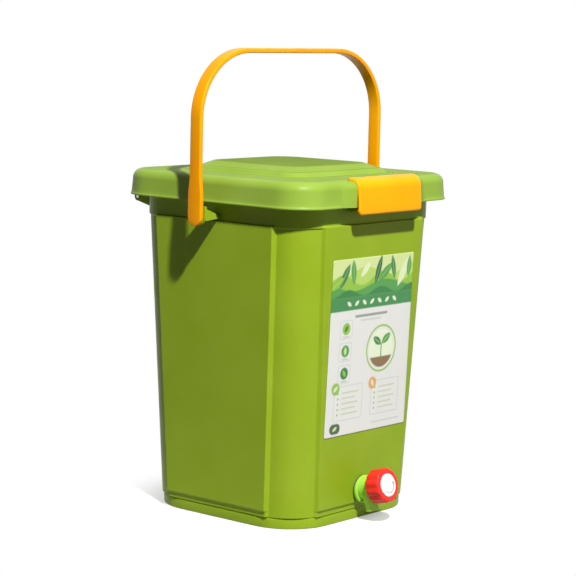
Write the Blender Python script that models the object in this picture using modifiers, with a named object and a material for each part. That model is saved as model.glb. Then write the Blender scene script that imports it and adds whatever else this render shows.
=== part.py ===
"""Bokashi bin: a square fermenting bucket with a strainer, a hinged lid, a latch and a tap.

Metres, +Z up. The origin is at the bottom centre of the foot ring, and the bin faces -Y.
Every size is a named value here or is worked out from one.
"""
import math

import bmesh
import bpy
from mathutils import Matrix, Vector

MM = 0.001

# Clearances shared by all pieces
GAP = 0.3 * MM
OVERRUN = 2 * MM
MERGE = 0.01 * MM
OVERLAP = 0.05 * MM
SMOOTH_DEGREES = 35

# Bucket walls and floor
BODY_HALF = 115.2 * MM
DRAFT_SLOPE_SHARE = 0.0373
WALL = 2.6 * MM
FLOOR_TOP = 9 * MM
FOOT_HEIGHT = 12 * MM
FOOT_INSET = 0.9 * MM
FOOT_WIDTH = 6 * MM
FOOT_RECESS = 5 * MM
FOOT_BOSS = 14 * MM
FOOT_RIB = 2.4 * MM
FOOT_RIB_LIFT = 0.6 * MM
BASE_CORNER = 46 * MM
TOP_CORNER = 42 * MM
CORNER_STEPS = 7

# Raised panels on the four sides
PANEL_STEP = 5.4 * MM
PANEL_BOTTOM = 20 * MM
PANEL_INSET = 39.2 * MM
PANEL_SPREAD = 14 * MM
PANEL_HALF_LOW = BODY_HALF - PANEL_INSET
PANEL_HALF_HIGH = PANEL_HALF_LOW + PANEL_SPREAD
PANEL_SIDE_SLOPE = 3 * MM

# Rim band below the lid, and the neck above it
BAND_BOTTOM = 354 * MM
BAND_HEIGHT = 16 * MM
BAND_TOP = BAND_BOTTOM + BAND_HEIGHT
BAND_SLOPE = 5 * MM
BAND_ROUND = 3 * MM
BAND_PROUD = 0.6 * MM
BAND_HALF = BODY_HALF + DRAFT_SLOPE_SHARE * BAND_BOTTOM + PANEL_STEP + BAND_PROUD
NECK_INSET = 3 * MM
NECK_HALF = BAND_HALF - NECK_INSET

# Handle ears on the two sides
PIVOT_ABOVE_BAND = 2 * MM
PIVOT_Z = BAND_BOTTOM + PIVOT_ABOVE_BAND
EAR_BEYOND_LID = 12.7 * MM
EAR_PLATE_THICK = 3.6 * MM
EAR_HALF = 9.5 * MM
EAR_RISE = 12 * MM
EAR_TOP = PIVOT_Z + EAR_RISE
EAR_RIB = 2.4 * MM
EAR_HOLE = 4.4 * MM

# Handle strap
HANDLE_RISE = 191 * MM
HANDLE_TOP = PIVOT_Z + HANDLE_RISE
EYE_CLEARANCE = 1.8 * MM
STRAP_THICK = 5.6 * MM
STRAP_WIDTH = 16 * MM
STRAP_ROUND = 1.4 * MM
HANDLE_CORNER_WIDE = 81 * MM
HANDLE_CORNER_HIGH = 77 * MM
HANDLE_CORNER_STEPS = 10
EYE_RADIUS = 11.3 * MM
EYE_THICK = 6.4 * MM
LEG_WIDE_SHARE = 0.42
LEG_WIDE_FADE = 16 * MM
PEG_RADIUS = 4 * MM
PEG_HEAD_RADIUS = 5.6 * MM
PEG_HEAD_THICK = 2 * MM

# Lid shell
LID_OVERHANG = 13.1 * MM
LID_HALF = NECK_HALF + LID_OVERHANG
EAR_PLATE_X = LID_HALF + EAR_BEYOND_LID
HANDLE_HALF = EAR_PLATE_X + EYE_CLEARANCE + EYE_THICK
LID_CORNER = TOP_CORNER
LID_WALL = 2.5 * MM
SKIRT_CLEARANCE = 2 * MM
SKIRT_BOTTOM = BAND_TOP + SKIRT_CLEARANCE
SKIRT_DRAFT = 1.6 * MM
LIP_HEIGHT = 1.6 * MM
LIP_OUT = 0.8 * MM
LID_HEIGHT = 30.5 * MM
RIM_TOP = SKIRT_BOTTOM + LID_HEIGHT
SHOULDER = 11 * MM
SHOULDER_STEPS = 4
GROOVE_INSET = 48.5 * MM
GROOVE_HALF = LID_HALF - GROOVE_INSET
GROOVE_DEPTH = 1.6 * MM
GROOVE_WIDTH = 3 * MM
PLATEAU_BESIDE_GROOVE = 6 * MM
PLATEAU_LEDGE_INSET = 8 * MM
PLATEAU_LEDGE_WIDTH = 4 * MM
PLATEAU_TOP_INSET = 10 * MM
PLATEAU_FOOT_HALF = GROOVE_HALF - PLATEAU_BESIDE_GROOVE
PLATEAU_LEDGE_HALF = PLATEAU_FOOT_HALF - PLATEAU_LEDGE_INSET
PLATEAU_TOP_HALF = PLATEAU_LEDGE_HALF - PLATEAU_TOP_INSET
PLATEAU_LEDGE_RISE = 5.6 * MM
PLATEAU_RISE = 11 * MM
PLATEAU_CORNER = 26 * MM

# Lid seal and its channel
SEAL_HALF_WIDTH = 3 * MM
SEAL_THICK = 2.6 * MM
BODY_HEIGHT = RIM_TOP - LID_WALL - SEAL_THICK - 2 * GAP
CHANNEL_RIB = 1.5 * MM
CHANNEL_DEPTH = 2 * MM

# Lid hinge at the back
HINGE_BEHIND_LID = 3.5 * MM
HINGE_Y = LID_HALF + HINGE_BEHIND_LID
HINGE_BELOW_BAND_TOP = 4 * MM
HINGE_Z = BAND_TOP - HINGE_BELOW_BAND_TOP
KNUCKLE_RADIUS = 5 * MM
HINGE_HALF_LENGTH = 106 * MM
KNUCKLE_OUTER_START = 70 * MM
KNUCKLE_CENTRE_HALF = 18 * MM
KNUCKLE_GAP = 0.6 * MM
HINGE_PIN_RADIUS = 2 * MM
PIN_FIT = 0.3 * MM
HINGE_WEB = 6 * MM

# Front latch
LATCH_HALF = 58 * MM
LATCH_WALL = 3 * MM
LATCH_BEFORE_LID = 9.5 * MM
LATCH_FACE_Y = LID_HALF + LATCH_BEFORE_LID
LATCH_BELOW_LID = 8.5 * MM
LATCH_ABOVE_LID = 2.9 * MM
LATCH_BOTTOM = SKIRT_BOTTOM - LATCH_BELOW_LID
LATCH_TOP_Z = RIM_TOP + LATCH_ABOVE_LID
LATCH_AXIS_INSET = 6.5 * MM
LATCH_AXIS_Y = LID_HALF - LATCH_AXIS_INSET
LATCH_BARREL = 2.2 * MM
LATCH_PIN_RADIUS = 1.1 * MM
LATCH_FOLD = 11 * MM
LATCH_FOLD_STEPS = 5
LATCH_LUG_INSET = 23 * MM
LATCH_LUG_X = LATCH_HALF - LATCH_LUG_INSET
LATCH_LUG_HALF = 3 * MM
LATCH_POCKET_DEPTH = 2 * MM
LATCH_CORNER = 5 * MM
CATCH_INSET = 6 * MM
CATCH_HALF = LATCH_HALF - CATCH_INSET
CATCH_OUT = 4 * MM
CATCH_THICK = 3 * MM
CATCH_UNDERCUT = 1.8 * MM
LATCH_PLAY = 0.5 * MM
LATCH_PAD_INSET = 1.2 * MM

# Strainer plate
STRAINER_TOP = 69 * MM
STRAINER_THICK = 3 * MM
STRAINER_CLEARANCE = 1.5 * MM
STRAINER_SKIRT = 8 * MM
HOLE_RADIUS = 3 * MM
HOLE_PITCH = 25 * MM
HOLES_ACROSS = 7
HOLE_SIDES = 8
LEG_RADIUS = 7 * MM
LEG_TAPER = 1.5 * MM
LEG_PLACE = 72 * MM
LIFT_RING_WIDTH = 34 * MM
LIFT_RING_HEIGHT = 26 * MM
LIFT_RING_THICK = 4 * MM
LIFT_RING_DEPTH = 10 * MM

# Tap: its seat on the wall and the tilt of its valve
TAP_Z = 36.5 * MM
VALVE_TILT_DEGREES = 14
FLANGE_RADIUS = 16.5 * MM
FLANGE_THICK = 4 * MM
FLANGE_EDGE = 1 * MM
WASHER_THICK = 2 * MM
WASHER_RADIUS = 15.5 * MM
TAIL_RADIUS = 8.5 * MM
TAIL_LENGTH = 15 * MM
TAIL_BORE = 5.5 * MM
NUT_RADIUS = 13.5 * MM
NUT_THICK = 7 * MM
NUT_SIDES = 6
NUT_COLLAR = 1.6 * MM
BARREL_RADIUS = 13 * MM
BARREL_LENGTH = 21 * MM
VALVE_BORE = 9 * MM
SPOUT_FROM_WALL = 12.5 * MM
SPOUT_ROOT_RADIUS = 8.3 * MM
SPOUT_ROOT_HALF = 12.4 * MM
SPOUT_FUNNEL_SHARE = 0.75
SPOUT_MOUTH_RADIUS = 7.8 * MM
SPOUT_BORE = 5.2 * MM
SEAT_DEPTH = 7 * MM
SPOUT_DROP = 28 * MM
BONNET_RADIUS = 11 * MM
BONNET_THICK = 3.4 * MM
BONNET_NECK = 3 * MM
KNOB_RADIUS = 20.5 * MM
KNOB_LENGTH = 18.3 * MM
KNOB_FRONT = 41.5 * MM
KNOB_FLUTES = 12
KNOB_FLUTE_RADIUS = 3.6 * MM
KNOB_FLUTE_DEPTH = 1 * MM
KNOB_EDGE = 2 * MM
KNOB_WALL = 2.4 * MM
KNOB_HUB_RADIUS = 6.5 * MM
DISC_RADIUS = 13.5 * MM
DISC_THICK = 1.6 * MM
SCREW_POCKET_RADIUS = 4.6 * MM
SCREW_POCKET_DEPTH = 2.2 * MM
HUB_GAP = 1.3 * MM
STEM_RADIUS = 3.6 * MM
O_RING_RADIUS = 1.2 * MM
PLUNGER_RADIUS = 8 * MM
PLUNGER_THICK = 3 * MM
SCREW_HEAD_RADIUS = 3.2 * MM
SCREW_HEAD_THICK = 1.6 * MM
SCREW_RADIUS = 1.3 * MM
SCREW_LENGTH = 8 * MM
ROUND_STEPS = 28
SMALL_STEPS = 16

# Label on the front panel
LABEL_HALF_WIDTH = 75 * MM
LABEL_BOTTOM = 105.7 * MM
LABEL_TOP = 311.6 * MM
LABEL_THICK = 0.4 * MM


def clear_scene():
    """Remove whatever the file opened with."""
    for thing in list(bpy.data.objects):
        bpy.data.objects.remove(thing, do_unlink=True)


def new_collection(name):
    """A collection linked to the scene."""
    group = bpy.data.collections.new(name)
    bpy.context.scene.collection.children.link(group)
    return group


clear_scene()
PARTS = new_collection("bokashi_bin")
CUTTERS = new_collection("cutters")


def plastic(name, colour, roughness=0.4, metallic=0.0):
    """A plain Principled material."""
    material = bpy.data.materials.new(name)
    material.use_nodes = True
    shader = material.node_tree.nodes["Principled BSDF"]
    shader.inputs["Base Color"].default_value = (*colour, 1)
    shader.inputs["Roughness"].default_value = roughness
    shader.inputs["Metallic"].default_value = metallic
    return material


def mesh_object(name, bm, group):
    """Turn a bmesh into an object of the given collection."""
    bmesh.ops.recalc_face_normals(bm, faces=bm.faces)
    mesh = bpy.data.meshes.new(name)
    bm.to_mesh(mesh)
    bm.free()
    mesh.shade_smooth()
    mesh.set_sharp_from_angle(angle=math.radians(SMOOTH_DEGREES))
    thing = bpy.data.objects.new(name, mesh)
    group.objects.link(thing)
    if group is CUTTERS:
        thing.hide_render = True
        thing.display_type = "WIRE"
    return thing


def finish(thing, material):
    """Give a part its material."""
    thing.data.materials.clear()
    thing.data.materials.append(material)
    return thing


def combine(target, tool, operation):
    """Boolean the tool object into the target."""
    modifier = target.modifiers.new(operation.lower(), "BOOLEAN")
    modifier.operation = operation
    modifier.solver = "EXACT"
    modifier.object = tool
    return target


def cut(target, tool):
    return combine(target, tool, "DIFFERENCE")


def join(target, tool):
    return combine(target, tool, "UNION")


def rounded_square(half, corner, z, steps=CORNER_STEPS):
    """Points of a square with round corners at height z, anticlockwise from the right side."""
    corner = max(min(corner, half), MERGE)
    points = []
    for quarter in range(4):
        turn = Matrix.Rotation(quarter * math.pi / 2, 3, "Z")
        for step in range(steps + 1):
            angle = step / steps * math.pi / 2
            reach = half - corner
            flat = Vector((reach + corner * math.cos(angle), reach + corner * math.sin(angle), z))
            points.append(turn @ flat)
    return points


def loft(name, rings, group, closed=False):
    """Skin a list of rings of equal count; the ends are capped, or joined when closed."""
    bm = bmesh.new()
    rows = [[bm.verts.new(point) for point in ring] for ring in rings]
    count = len(rows[0])
    pairs = list(zip(rows, rows[1:]))
    if closed:
        pairs.append((rows[-1], rows[0]))
    for low, high in pairs:
        for index in range(count):
            following = (index + 1) % count
            bm.faces.new((low[index], low[following], high[following], high[index]))
    if not closed:
        bm.faces.new(list(reversed(rows[0])))
        bm.faces.new(rows[-1])
    return mesh_object(name, bm, group)


def box(name, low, high, group):
    """A box between two corners."""
    bm = bmesh.new()
    size = Vector(high) - Vector(low)
    middle = (Vector(high) + Vector(low)) / 2
    place = Matrix.Translation(middle) @ Matrix.Diagonal((*size, 1))
    bmesh.ops.create_cube(bm, size=1, matrix=place)
    return mesh_object(name, bm, group)


def rod(name, radius, start, end, group, sides=ROUND_STEPS, end_radius=None):
    """A cylinder or cone between two points."""
    start, end = Vector(start), Vector(end)
    along = end - start
    turn = Vector((0, 0, 1)).rotation_difference(along.normalized()).to_matrix().to_4x4()
    place = Matrix.Translation((start + end) / 2) @ turn
    bm = bmesh.new()
    bmesh.ops.create_cone(
        bm, cap_ends=True, segments=sides, radius1=radius,
        radius2=radius if end_radius is None else end_radius,
        depth=along.length, matrix=place)
    return mesh_object(name, bm, group)


def turned(name, profile, frame, group, steps=ROUND_STEPS):
    """Turn a profile of (radius, height) about the Z axis of a frame matrix.

    The profile runs from top to bottom down its outer side. One whose ends are off the
    axis is a closed ring.
    """
    mesh = bpy.data.meshes.new(name)
    points = [(radius, 0, height) for radius, height in profile]
    edges = [(index, index + 1) for index in range(len(points) - 1)]
    if profile[0][0] > 0:
        edges.append((len(points) - 1, 0))
    mesh.from_pydata(points, edges, [])
    thing = bpy.data.objects.new(name, mesh)
    group.objects.link(thing)
    screw = thing.modifiers.new("turned", "SCREW")
    screw.steps = steps
    screw.render_steps = steps
    screw.use_merge_vertices = True
    screw.merge_threshold = MERGE
    screw.use_normal_calculate = False
    screw.use_normal_flip = False
    screw.use_smooth_shade = True
    thing.matrix_world = frame
    if group is CUTTERS:
        thing.hide_render = True
        thing.display_type = "WIRE"
    return thing


def body_half(z):
    """Half width of the corner pillars at height z."""
    return BODY_HALF + DRAFT_SLOPE_SHARE * z


def body_corner(z):
    """Corner radius of the bucket at height z."""
    return BASE_CORNER + (TOP_CORNER - BASE_CORNER) * z / BODY_HEIGHT


def panel_face(z):
    """Distance of a raised panel's face from the middle of the bin at height z."""
    return body_half(z) + PANEL_STEP


def quarter_turn(index):
    return Matrix.Rotation(index * math.pi / 2, 3, "Z")


def panel_block(name, inset, top, quarter):
    """A raised panel as a tapered block, or its hollow when inset by the wall."""
    rings = []
    for z, half in ((PANEL_BOTTOM + inset, PANEL_HALF_LOW), (top, PANEL_HALF_HIGH)):
        foot = body_half(z) - inset
        face = panel_face(z) - inset
        width = half - inset
        foot_width = width + PANEL_SIDE_SLOPE
        inside = foot - PANEL_STEP
        outline = (
            (-foot_width, -inside), (-foot_width, -foot), (-width, -face),
            (width, -face), (foot_width, -foot), (foot_width, -inside))
        rings.append([quarter_turn(quarter) @ Vector((x, y, z)) for x, y in outline])
    return loft(name, rings, CUTTERS)


def bucket_solid():
    """The outside of the bucket as a full solid: foot, pillars, rim band and neck."""
    foot_half = body_half(0) - FOOT_INSET
    slope_start = BAND_BOTTOM - BAND_SLOPE
    levels = (
        (foot_half - FOOT_INSET, 0),
        (foot_half, FOOT_INSET),
        (foot_half, FOOT_HEIGHT),
        (body_half(FOOT_HEIGHT), FOOT_HEIGHT + FOOT_INSET),
        (body_half(slope_start), slope_start),
        (BAND_HALF - BAND_ROUND, BAND_BOTTOM),
        (BAND_HALF, BAND_BOTTOM + BAND_ROUND),
        (BAND_HALF, BAND_TOP),
        (NECK_HALF, BAND_TOP + MERGE),
        (NECK_HALF, BODY_HEIGHT))
    rings = [rounded_square(half, body_corner(z) + half - body_half(z), z) for half, z in levels]
    return loft("bucket", rings, PARTS)


def bucket_cavity():
    """The hollow of the bucket, one wall inside its outer surface."""
    levels = (
        (body_half(FLOOR_TOP) - WALL, FLOOR_TOP),
        (body_half(BAND_BOTTOM) - WALL, BAND_BOTTOM),
        (NECK_HALF - WALL, BAND_TOP),
        (NECK_HALF - WALL, BODY_HEIGHT + OVERRUN))
    rings = [rounded_square(half, body_corner(z) + half - body_half(z), z) for half, z in levels]
    cavity = loft("bucket_cavity", rings, CUTTERS)
    for quarter in range(4):
        join(cavity, panel_block(f"panel_hollow_{quarter}", WALL, BAND_BOTTOM - WALL, quarter))
    return cavity


def prism(name, outline, low, high, axis, group):
    """Extrude an outline of pairs along an axis between two places."""
    rings = []
    for place in (low, high):
        if axis == "X":
            rings.append([Vector((place, a, b)) for a, b in outline])
        elif axis == "Y":
            rings.append([Vector((a, place, b)) for a, b in outline])
        else:
            rings.append([Vector((a, b, place)) for a, b in outline])
    return loft(name, rings, group)


def add_ear(bucket, side, label):
    """A handle ear: an outer plate with a peg hole, on two gusset ribs."""
    outer = side * EAR_PLATE_X
    inner = side * (EAR_PLATE_X - EAR_PLATE_THICK)
    root = side * (BAND_HALF - WALL)
    plate = [(EAR_HALF, EAR_TOP), (-EAR_HALF, EAR_TOP)]
    for step in range(SMALL_STEPS + 1):
        angle = math.pi * (1 + step / SMALL_STEPS)
        plate.append((EAR_HALF * math.cos(angle), PIVOT_Z + EAR_HALF * math.sin(angle)))
    join(bucket, prism(f"ear_plate_{label}", plate, *sorted((inner, outer)), "X", CUTTERS))
    middle = (inner + outer) / 2
    rib_low = PIVOT_Z - EAR_HALF / 2
    outline = (
        (root, BAND_BOTTOM + BAND_ROUND), (middle, rib_low),
        (middle, EAR_TOP - EAR_RIB), (root, EAR_TOP - EAR_HALF))
    for hand in (-1, 1):
        far = hand * EAR_HALF
        near = hand * (EAR_HALF - EAR_RIB)
        inside = OVERLAP * hand
        join(bucket, prism(f"ear_rib_{label}_{hand}", outline, near, far - inside, "Y", CUTTERS))
    hole = rod(
        f"ear_hole_{label}", EAR_HOLE, (inner - side * OVERRUN, 0, PIVOT_Z),
        (outer + side * OVERRUN, 0, PIVOT_Z), CUTTERS, SMALL_STEPS)
    cut(bucket, hole)


def knuckle_spans():
    """The X ranges of the bucket's hinge knuckles, then those of the lid's."""
    centre, outer, end = KNUCKLE_CENTRE_HALF, KNUCKLE_OUTER_START, HINGE_HALF_LENGTH
    bucket = ((-end, -outer), (-centre, centre), (outer, end))
    lid = ((-outer + KNUCKLE_GAP, -centre - KNUCKLE_GAP), (centre + KNUCKLE_GAP, outer - KNUCKLE_GAP))
    return bucket, lid


def add_bucket_hinge(bucket):
    """Three knuckles behind the rim band, each on a web, bored for the hinge pin."""
    spans, _ = knuckle_spans()
    low = HINGE_Z - KNUCKLE_RADIUS
    for index, (start, end) in enumerate(spans):
        barrel = rod(
            f"bucket_knuckle_{index}", KNUCKLE_RADIUS, (start, HINGE_Y, HINGE_Z),
            (end, HINGE_Y, HINGE_Z), CUTTERS, SMALL_STEPS)
        join(bucket, barrel)
        outline = (
            (BAND_HALF - WALL, BAND_BOTTOM + BAND_ROUND), (HINGE_Y, low),
            (HINGE_Y, low + HINGE_WEB), (BAND_HALF - WALL, low + HINGE_WEB))
        join(bucket, prism(
            f"bucket_web_{index}", outline, start + OVERLAP, end - OVERLAP, "X", CUTTERS))
    end = HINGE_HALF_LENGTH + OVERRUN
    cut(bucket, rod(
        "bucket_pin_hole", HINGE_PIN_RADIUS + PIN_FIT, (-end, HINGE_Y, HINGE_Z),
        (end, HINGE_Y, HINGE_Z), CUTTERS, SMALL_STEPS))


def catch_low():
    """Underside of the bucket's catch bar, just above the latch's lip."""
    return LATCH_BOTTOM + LATCH_WALL + LATCH_PLAY


def tap_frame(direction):
    """A frame at the tap's place on the wall, with its Z axis along a direction."""
    place = Vector((0, -panel_face(TAP_Z), TAP_Z))
    turn = Vector((0, 0, 1)).rotation_difference(direction).to_matrix().to_4x4()
    return Matrix.Translation(place) @ turn


def wall_frame():
    """Z points out of the drafted front panel, square to it."""
    return tap_frame(Vector((0, -1, -DRAFT_SLOPE_SHARE)).normalized())


def valve_frame():
    """Z points along the valve, which is tilted up from the level."""
    tilt = math.radians(VALVE_TILT_DEGREES)
    return tap_frame(Vector((0, -math.cos(tilt), math.sin(tilt))))


def along(frame, height):
    """A point on the axis of a frame."""
    return frame @ Vector((0, 0, height))


def add_foot_ribs(bucket, recess_half):
    """A centre boss level with the foot ring, and a cross of ribs out to the ring."""
    root = FOOT_RECESS + (FLOOR_TOP - FOOT_RECESS) / 2
    reach = recess_half + FOOT_WIDTH / 2
    half = FOOT_RIB / 2
    join(bucket, rod("foot_boss", FOOT_BOSS, (0, 0, 0), (0, 0, root), CUTTERS))
    for name, x, y in (("foot_rib_x", reach, half), ("foot_rib_y", half, reach)):
        join(bucket, box(name, (-x, -y, FOOT_RIB_LIFT), (x, y, root), CUTTERS))


def make_bucket(material):
    bucket = bucket_solid()
    for quarter in range(4):
        join(bucket, panel_block(f"panel_{quarter}", 0, BAND_BOTTOM + BAND_ROUND, quarter))
    for side, label in ((-1, "left"), (1, "right")):
        add_ear(bucket, side, label)
    add_bucket_hinge(bucket)
    catch = box(
        "catch_bar", (-CATCH_HALF, -BAND_HALF - CATCH_OUT, catch_low()),
        (CATCH_HALF, -BAND_HALF + WALL, catch_low() + CATCH_THICK), CUTTERS)
    join(bucket, catch)
    cut(bucket, bucket_cavity())
    recess_half = body_half(0) - FOOT_INSET - FOOT_WIDTH
    recess = [
        rounded_square(recess_half, body_corner(0) - FOOT_WIDTH, z)
        for z in (-OVERRUN, FOOT_RECESS)]
    cut(bucket, loft("foot_recess", recess, CUTTERS))
    add_foot_ribs(bucket, recess_half)
    frame = wall_frame()
    cut(bucket, rod(
        "tap_hole", TAIL_RADIUS + GAP, along(frame, -WALL - OVERRUN),
        along(frame, OVERRUN), CUTTERS))
    return finish(bucket, material)


def shoulder_arc(half, top, radius):
    """Levels of the lid's round shoulder, from the skirt up to the rim."""
    levels = []
    for step in range(SHOULDER_STEPS + 1):
        angle = step / SHOULDER_STEPS * math.pi / 2
        levels.append((
            half - radius + radius * math.cos(angle),
            top - radius + radius * math.sin(angle)))
    return levels


def lid_corner(half):
    """Corner radius of a lid ring: the skirt's own, easing to the plateau's."""
    inset = LID_HALF - half
    return max(LID_CORNER - inset, PLATEAU_CORNER)


def make_lid(material):
    """The lid as one shell: underside, skirt, shoulder, groove and stepped plateau."""
    top = RIM_TOP + PLATEAU_RISE
    under = RIM_TOP - LID_WALL
    skirt_top = LID_HALF - SKIRT_DRAFT
    inner = shoulder_arc(skirt_top - LID_WALL, under, SHOULDER - LID_WALL)
    outer = shoulder_arc(skirt_top, RIM_TOP, SHOULDER)
    ledge_out = PLATEAU_LEDGE_HALF + PLATEAU_LEDGE_WIDTH
    ledge_z = RIM_TOP + PLATEAU_LEDGE_RISE
    half_groove = GROOVE_WIDTH / 2
    levels = [
        (PLATEAU_TOP_HALF - LID_WALL, top - LID_WALL),
        (PLATEAU_LEDGE_HALF - LID_WALL, ledge_z - LID_WALL),
        (ledge_out - LID_WALL, ledge_z - LID_WALL - MERGE),
        (PLATEAU_FOOT_HALF - LID_WALL, under)]
    levels += list(reversed(inner))
    levels += [
        (LID_HALF - LID_WALL, SKIRT_BOTTOM),
        (LID_HALF + LIP_OUT, SKIRT_BOTTOM),
        (LID_HALF + LIP_OUT, SKIRT_BOTTOM + LIP_HEIGHT),
        (LID_HALF, SKIRT_BOTTOM + LIP_HEIGHT + LIP_OUT)]
    levels += outer
    levels += [
        (GROOVE_HALF + half_groove, RIM_TOP),
        (GROOVE_HALF + half_groove / 2, RIM_TOP - GROOVE_DEPTH),
        (GROOVE_HALF - half_groove / 2, RIM_TOP - GROOVE_DEPTH),
        (GROOVE_HALF - half_groove, RIM_TOP),
        (PLATEAU_FOOT_HALF, RIM_TOP),
        (ledge_out, ledge_z),
        (PLATEAU_LEDGE_HALF, ledge_z + MERGE),
        (PLATEAU_TOP_HALF, top)]
    rings = [rounded_square(half, lid_corner(half), z) for half, z in levels]
    lid = loft("lid", rings, PARTS)
    add_groove_backing(lid, under)
    add_seal_channel(lid, under)
    add_latch_lugs(lid, under)
    add_lid_knuckles(lid)
    return finish(lid, material)


def square_ring(name, inner, outer, low, high, group):
    """A square ring of rectangular section that follows the bucket's neck."""
    levels = ((inner, low), (outer, low), (outer, high), (inner, high))
    corner = TOP_CORNER - NECK_HALF
    rings = [rounded_square(half, corner + half, z) for half, z in levels]
    return loft(name, rings, group, closed=True)


def seal_middle():
    """Half width of the middle of the bucket's rim, where the seal bears."""
    return NECK_HALF - WALL / 2


def add_groove_backing(lid, under):
    """A strip below the lid's groove keeps the wall's thickness there."""
    backing = square_ring(
        "groove_backing", GROOVE_HALF - GROOVE_WIDTH, GROOVE_HALF + GROOVE_WIDTH,
        under - GROOVE_DEPTH, under + LID_WALL / 4, CUTTERS)
    join(lid, backing)


def add_seal_channel(lid, under):
    """Two ribs below the lid hold the seal between them."""
    side = SEAL_HALF_WIDTH + GAP
    for name, inner in (
            ("channel_inner", seal_middle() - side - CHANNEL_RIB),
            ("channel_outer", seal_middle() + side)):
        join(lid, square_ring(
            name, inner, inner + CHANNEL_RIB, under - CHANNEL_DEPTH, under + OVERLAP, CUTTERS))


def latch_axis_z():
    return LATCH_TOP_Z - LATCH_BARREL


def fold_arc(radius):
    """Places along the latch's fold, as Y and Z, from the top round to the face."""
    centre = (-LATCH_FACE_Y + LATCH_FOLD, LATCH_TOP_Z - LATCH_FOLD)
    places = []
    for step in range(LATCH_FOLD_STEPS + 1):
        angle = math.pi / 2 * step / LATCH_FOLD_STEPS
        places.append((centre[0] - radius * math.sin(angle), centre[1] + radius * math.cos(angle)))
    return places


def add_latch_pad(lid):
    """A raised pad on the skirt that fills the space behind the latch's face."""
    low = SKIRT_BOTTOM + LIP_HEIGHT / 2
    half = LATCH_HALF - LATCH_PAD_INSET
    outline = fold_arc(LATCH_FOLD - LATCH_WALL - LATCH_PLAY)
    root = -LID_HALF + LID_WALL / 2
    outline += [(outline[-1][0], low), (root, low), (root + SKIRT_DRAFT, RIM_TOP - SHOULDER),
                (-LATCH_AXIS_Y, outline[0][1])]
    join(lid, prism("latch_pad", outline, -half, half, "X", CUTTERS))


def add_latch_lugs(lid, under):
    """A pocket in the rim with two lugs that carry the latch's pin."""
    reach = LATCH_BARREL + LATCH_PLAY
    floor = RIM_TOP - LATCH_POCKET_DEPTH
    margin = LATCH_HALF + LATCH_PLAY
    join(lid, box(
        "pocket_backing", (-margin - LID_WALL, -LATCH_AXIS_Y + LATCH_PLAY, floor - LID_WALL + OVERLAP),
        (margin + LID_WALL, -LATCH_AXIS_Y + reach + LID_WALL / 2, under + OVERLAP), CUTTERS))
    add_latch_pad(lid)
    cut(lid, box(
        "latch_pocket", (-margin, -LATCH_AXIS_Y - reach, floor),
        (margin, -LATCH_AXIS_Y + reach, RIM_TOP + OVERRUN), CUTTERS))
    for side in (-1, 1):
        middle = side * LATCH_LUG_X
        low_x = middle - LATCH_LUG_HALF
        high_x = middle + LATCH_LUG_HALF
        half_foot = LATCH_BARREL - OVERLAP
        join(lid, box(
            f"lug_foot_{side}", (low_x, -LATCH_AXIS_Y - half_foot, floor - LID_WALL / 2),
            (high_x, -LATCH_AXIS_Y + half_foot, latch_axis_z()), CUTTERS))
        join(lid, rod(
            f"lug_head_{side}", LATCH_BARREL, (low_x + OVERLAP, -LATCH_AXIS_Y, latch_axis_z()),
            (high_x - OVERLAP, -LATCH_AXIS_Y, latch_axis_z()), CUTTERS, SMALL_STEPS))
        cut(lid, rod(
            f"lug_hole_{side}", LATCH_PIN_RADIUS + PIN_FIT,
            (low_x - OVERRUN, -LATCH_AXIS_Y, latch_axis_z()),
            (high_x + OVERRUN, -LATCH_AXIS_Y, latch_axis_z()), CUTTERS, SMALL_STEPS))


def add_lid_knuckles(lid):
    """Two knuckles on arms below the back of the skirt, bored for the hinge pin."""
    _, spans = knuckle_spans()
    arm_near = LID_HALF - LID_WALL + OVERLAP
    for index, (start, end) in enumerate(spans):
        join(lid, rod(
            f"lid_knuckle_{index}", KNUCKLE_RADIUS, (start, HINGE_Y, HINGE_Z),
            (end, HINGE_Y, HINGE_Z), CUTTERS, SMALL_STEPS))
        join(lid, box(
            f"lid_arm_{index}", (start + OVERLAP, arm_near, HINGE_Z),
            (end - OVERLAP, HINGE_Y, SKIRT_BOTTOM + LIP_HEIGHT), CUTTERS))
        cut(lid, rod(
            f"lid_pin_hole_{index}", HINGE_PIN_RADIUS + PIN_FIT,
            (start - KNUCKLE_GAP / 2, HINGE_Y, HINGE_Z), (end + KNUCKLE_GAP / 2, HINGE_Y, HINGE_Z),
            CUTTERS, SMALL_STEPS))


def make_seal(material):
    low = BODY_HEIGHT + GAP
    seal = square_ring(
        "lid_seal", seal_middle() - SEAL_HALF_WIDTH, seal_middle() + SEAL_HALF_WIDTH,
        low, low + SEAL_THICK, PARTS)
    return finish(seal, material)


def make_hinge_pin(material):
    end = HINGE_HALF_LENGTH - GAP
    pin = rod(
        "lid_hinge_pin", HINGE_PIN_RADIUS, (-end, HINGE_Y, HINGE_Z), (end, HINGE_Y, HINGE_Z),
        PARTS, SMALL_STEPS)
    return finish(pin, material)


def latch_outline():
    """Section of the latch in Y and Z: barrel, top plate, fold, face and lip."""
    outline = [(-LATCH_AXIS_Y, LATCH_TOP_Z)] + fold_arc(LATCH_FOLD)
    lip_tip = -(BAND_HALF + CATCH_OUT - CATCH_UNDERCUT)
    face_foot = -LATCH_FACE_Y - SKIRT_DRAFT
    outline += [
        (face_foot, LATCH_BOTTOM), (lip_tip, LATCH_BOTTOM), (lip_tip, LATCH_BOTTOM + LATCH_WALL),
        (face_foot + LATCH_WALL, LATCH_BOTTOM + LATCH_WALL)]
    outline += reversed(fold_arc(LATCH_FOLD - LATCH_WALL))
    outline.append((-LATCH_AXIS_Y, LATCH_TOP_Z - LATCH_WALL))
    return outline


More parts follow.
